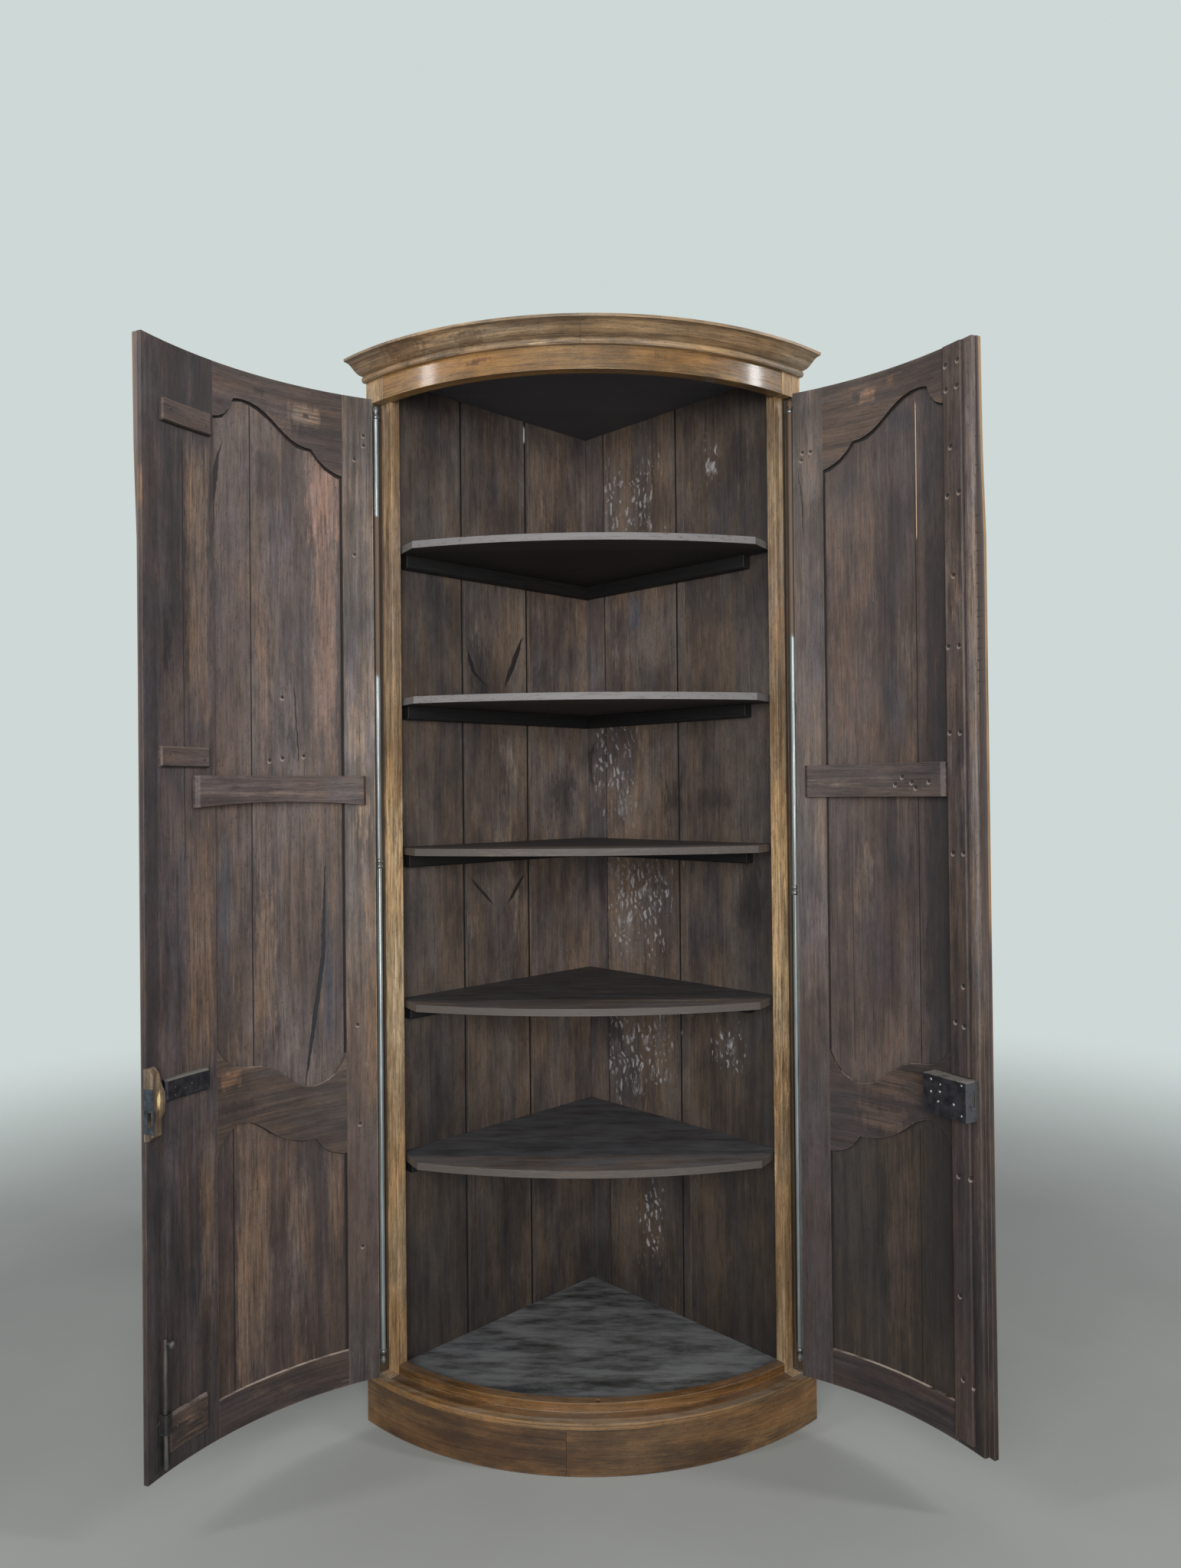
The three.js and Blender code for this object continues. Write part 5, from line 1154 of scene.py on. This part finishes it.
def iron_strap():
    """Flat iron from the strike block across the stile."""
    piece = chamfered_bar("strike_strap", LEFT, -0.95, 7.9, 0.797, 0.838, strap_thickness, 0.0036)
    strap = iron("strap iron", **black_iron, faces=[((0.0, 0.0, 1.0), "8f8b84", 0.85)])
    finished(piece, "left_leaf", strap, smooth=30)


def door_studs(name, side, spots, radius_at, stud_radius, stud_height, material):
    """Nail heads on a door, from their bearings and heights."""
    spots = np.asarray(spots, float)
    places = door_place(side, radius_at, spots[:, 0], spots[:, 1])
    piece = studs(name, places, door_outward(side, spots[:, 0]), stud_radius, stud_height)
    return finished(piece, body_of[side], material, smooth=50)


def nails_and_pegs():
    nail = iron("nail iron", "2b2a2b", "55524f", "a5a29c", rust="3c2b20", rust_share=0.4,
                rough=0.5, metal=0.6, grain=300.0)
    bright = iron("rubbed nail iron", "77757a", "b9b8bb", "dedddc", rust_share=0.1, rough=0.35,
                  metal=0.75, grain=300.0)
    door_studs("strap_nails", LEFT, [(0.9, 0.820), (0.9, 0.806), (3.0, 0.812), (4.3, 0.818)],
               door_inner - strap_thickness - seat_gap, 0.0026, 0.0012, nail)
    door_studs("short_cleat_nails", LEFT, [(1.0, 2.083), (8.0, 2.072), (0.4, 1.437), (7.3, 1.428),
                                           (1.2, 0.193), (6.2, 0.188)],
               door_inner - short_cleat_thickness - seat_gap, 0.0026, 0.0012, nail)
    # Millimetres across the lock and heights in metres, found in the same way as the pegs
    lock_spots = np.array([(31.0, 0.8043), (9.0, 0.7986), (31.4, 0.7803), (10.7, 0.7845),
                           (14.8, 0.7650), (-22.0, 0.7676), (-40.3, 0.8070), (-40.1, 0.7505)])
    across = lock_spots[:, 0] / 1000
    reach = np.hypot(across, lock_front)
    bearing = lock_angle + np.degrees(np.arctan2(across, lock_front))
    places = door_place(RIGHT, reach, bearing, lock_spots[:, 1])
    piece = studs("lock_rivets", places, door_outward(RIGHT, lock_angle), 0.0027, 0.0015)
    finished(piece, "right_leaf", bright, smooth=50)


def hinge_rings():
    """Raised rings round the hinge rods where their lengths meet, and near both ends."""
    ring = np.array([[0.0049, -0.0045], [0.0074, -0.0035], [0.0083, -0.001], [0.0083, 0.001],
                     [0.0074, 0.0035], [0.0049, 0.0045]])
    steel = iron("ring iron", "585a59", "8b8d8b", "c2c3bf", rust="5d4733", rust_share=0.4,
                 rough=0.4, metal=0.8, grain=200.0)
    for side, word, split in ((LEFT, "left", 1.208), (RIGHT, "right", 1.143)):
        for number, (middle, body) in enumerate((
                (split - 0.0055, "carcass"), (split + 0.006, body_of[side]), (0.157, "carcass"),
                (2.178, body_of[side]))):
            profile = ring + np.array([[0.0, middle]])
            piece = turned_about(f"{word}_hinge_ring_{number + 1}", (side * pin_across,
                                                                     pin_forward), profile)
            finished(piece, body, steel, smooth=40)


# Scrolled edges, as on the solids: shares across the panel from the hinge side and shares of the
# rise. Each row is one curve: its start, its two handles and its end.
arch_rows = np.array([
    [[0, 0], [0.1067, 0.0667], [0.185, 0.2033], [0.235, 0.41]],
    [[0.235, 0.41], [0.47, 0.41], [0.52, 1], [0.76, 1]],
    [[0.76, 1], [0.79, 1], [0.82, 0.99], [0.84, 0.97]],
    [[0.84, 0.97], [0.8633, 0.7367], [0.9167, 0.6067], [1, 0.58]]])
foot_rows = np.array([
    [[0, 0], [0.1133, 0.02], [0.1917, 0.1467], [0.235, 0.38]],
    [[0.235, 0.38], [0.58, 0.38], [0.62, 1], [0.81, 1]],
    [[0.81, 1], [0.9033, 0.9667], [0.9667, 0.8], [1, 0.5]]])
panel_stations = np.array([
    0.0, 0.042, 0.09, 0.133, 0.185, 0.235, 0.29, 0.34, 0.39, 0.44, 0.49, 0.54, 0.59, 0.64, 0.7,
    0.76, 0.8, 0.84, 0.867, 0.91, 0.958, 1.0])


def scroll_heights(rows, foot, rise):
    """Heights of a scrolled edge at the panel's stations. A point of a cubic curve is its four
    handles weighted by the powers of t and 1 - t; the share across gives the height."""
    t = np.linspace(0, 1, 60)
    weights = np.stack([(1 - t) ** 3, 3 * t * (1 - t) ** 2, 3 * t ** 2 * (1 - t), t ** 3])
    points = np.einsum("wt,rwc->rtc", weights, rows).reshape(-1, 2)
    return foot + rise * np.interp(panel_stations, points[:, 0], points[:, 1])


def painted_shadow_strip(name, side, bearings, high, low, finish):
    """A thin dark strip of painted shadow on the inner face of a panel, between two heights at
    each
    bearing: a rectangle of two radii carried along the bow."""
    bearings, high, low = np.broadcast_arrays(bearings, high, low)
    half = 0.00015
    radii = panel_inner + np.array([[half, -half, -half, half]])
    heights = np.stack([low, low, high, high], axis=1)
    piece = bow_bar(name, side, bearings, np.repeat(radii, len(bearings), axis=0), heights)
    finished(piece, body_of[side], finish)


def painted_shadows_round_panels():
    """Painted shadow in the joints round the panels: under the scrolls and along both stiles."""
    painted_shadow = oak("joint soot", ("plain", None), "up", 77, "0f0c0b", "1b1614", "241d1a", patch=0.2,
               scratches=0.0, wear=0.0, dust=0.0, rough=0.8)
    across = panel_hinge_edge - (panel_hinge_edge - panel_meeting_edge) * panel_stations
    ripple = 0.0012 * np.sin(panel_stations * 23.0) + 0.0008 * np.sin(panel_stations * 57.0)
    arch = scroll_heights(arch_rows, arch_foot, arch_rise)
    foot = scroll_heights(foot_rows, foot_scroll_foot, foot_scroll_rise)
    for side, word in ((LEFT, "left"), (RIGHT, "right")):
        painted_shadow_strip(f"{word}_arch_painted_shadow", side, across, arch + 0.0004, arch - 0.0042 - ripple, painted_shadow)
        painted_shadow_strip(f"{word}_foot_painted_shadow", side, across, foot + 0.0004, foot - 0.0026 - ripple, painted_shadow)
        for label, start, end, spans in (
                ("hinge", 34.23, 33.80 if side == LEFT else 33.98,
                 ((2.034, 0.812), (0.605, 0.185))),
                ("meeting", 10.03, 9.87, ((2.102, 0.862), (0.659, 0.185)))):
            for place, (high, low) in zip(("upper", "lower"), spans):
                painted_shadow_strip(f"{word}_{label}_gap_{place}", side, np.linspace(start, end, 3), high,
                          low, painted_shadow)


short_cleats()
iron_strap()
painted_shadows_round_panels()
nails_and_pegs()
hinge_rings()


# Floor, light and camera

def pale_floor():
    """A round pale floor that fades out with distance from the cupboard."""
    turn = np.linspace(0, 2 * math.pi, 96, endpoint=False)
    ring = np.stack([np.cos(turn), np.sin(turn), np.zeros_like(turn)], axis=-1)
    points = np.concatenate([ring * 0.02, ring * 2.0, ring * 9.0]) + np.array([0.0, -0.5, -0.0005])
    index = np.arange(3 * 96).reshape(3, 96)
    after = np.roll(index, -1, axis=1)
    quads = np.stack([index[:-1], index[1:], after[1:], after[:-1]], axis=-1).reshape(-1, 4)
    mesh = bpy.data.meshes.new("pale_floor")
    mesh.from_pydata(points, [], [*quads.tolist(), index[0].tolist()])
    floor = bpy.data.objects.new("pale_floor", mesh)
    bpy.context.scene.collection.objects.link(floor)
    material, tree, shader = start_material("pale floor")
    place = object_place(tree)
    cloud = clouds(tree, stretched(tree, place, (2.0, 2.0, 2.0)), detail=4.0)
    colour = mixed(tree, cloud, tone("8f908d"), tone("a0a19e"))
    tree.links.new(colour, shader.inputs["Base Color"])
    shader.inputs["Roughness"].default_value = 0.8
    flat = put(tree, "ShaderNodeVectorMath", {0: place, 1: (0.0, 0.5, 0.0)}, operation="ADD")
    distance = put(tree, "ShaderNodeVectorMath", {0: flat.outputs[0]}, operation="LENGTH")
    solid = between(tree, distance.outputs["Value"], 4.5, 1.6)
    clear = put(tree, "ShaderNodeBsdfTransparent").outputs[0]
    blend = put(tree, "ShaderNodeMixShader", {0: solid, 1: clear, 2: shader.outputs[0]})
    target = next(n for n in tree.nodes if n.type == "OUTPUT_MATERIAL")
    tree.links.new(blend.outputs[0], target.inputs[0])
    mesh.materials.append(material)


def area_light(name, place, aim, width, height, power):
    lamp = bpy.data.lights.new(name, "AREA")
    lamp.shape = "RECTANGLE"
    lamp.size = width
    lamp.size_y = height
    lamp.energy = power
    holder = bpy.data.objects.new(name, lamp)
    holder.location = place
    direction = Vector(aim) - Vector(place)
    holder.rotation_euler = direction.to_track_quat("-Z", "Y").to_euler()
    bpy.context.scene.collection.objects.link(holder)


def soft_light():
    """A broad lamp above the front, a level one, two at the sides, and a pale sky."""
    area_light("front lamp", (-0.4, -4.3, 2.1), (0, -0.4, 1.3), 3.4, 1.0, 105)
    area_light("level lamp", (0.2, -4.6, 1.3), (0, -0.4, 1.2), 1.6, 0.8, 50)
    area_light("left lamp", (-3.6, -2.1, 3.5), (0, -0.5, 1.5), 0.4, 1.6, 34)
    area_light("right lamp", (3.8, -1.6, 3.5), (0, -0.5, 1.5), 0.36, 1.6, 50)
    world = bpy.data.worlds.new("pale room")
    bpy.context.scene.world = world
    world.use_nodes = True
    tree = world.node_tree
    tree.nodes.clear()
    seen = put(tree, "ShaderNodeLightPath").outputs
    view = maths(tree, "MAXIMUM", seen["Is Camera Ray"], seen["Is Transmission Ray"])
    colour = mixed(tree, view, (0.78, 0.82, 0.84, 1.0), tone("ced8d6"))
    strength = scaled(tree, view, 0.5, 0.5)
    back = put(tree, "ShaderNodeBackground", {0: colour, 1: strength})
    target = put(tree, "ShaderNodeOutputWorld")
    tree.links.new(back.outputs[0], target.inputs[0])


def photo_camera():
    """The photograph's view: its height and its focal length are in the photograph's pixels."""
    photo_height, focal_length = 2048, 1397.2
    yaw, pitch, roll = (math.radians(v) for v in (0.603, 0.434, -0.553))
    forward = np.array([-math.sin(yaw) * math.cos(pitch), math.cos(yaw) * math.cos(pitch),
                        math.sin(pitch)])
    level = np.array([math.cos(yaw), math.sin(yaw), 0.0])
    up = np.cross(level, forward)
    right = math.cos(roll) * level + math.sin(roll) * up
    top = -math.sin(roll) * level + math.cos(roll) * up
    data = bpy.data.cameras.new("photo camera")
    data.sensor_fit = "VERTICAL"
    data.sensor_height = 36.0
    data.lens = data.sensor_height * focal_length / photo_height
    data.clip_end = 60.0
    camera = bpy.data.objects.new("photo camera", data)
    turn = np.eye(4)
    turn[:3, 0], turn[:3, 1], turn[:3, 2] = right, top, -forward
    turn[:3, 3] = (0.0343, -2.8008, 1.359)
    camera.matrix_world = Matrix(turn.tolist())
    bpy.context.scene.collection.objects.link(camera)
    bpy.context.scene.camera = camera


pale_floor()
soft_light()
photo_camera()
bpy.context.scene.view_settings.view_transform = "Standard"
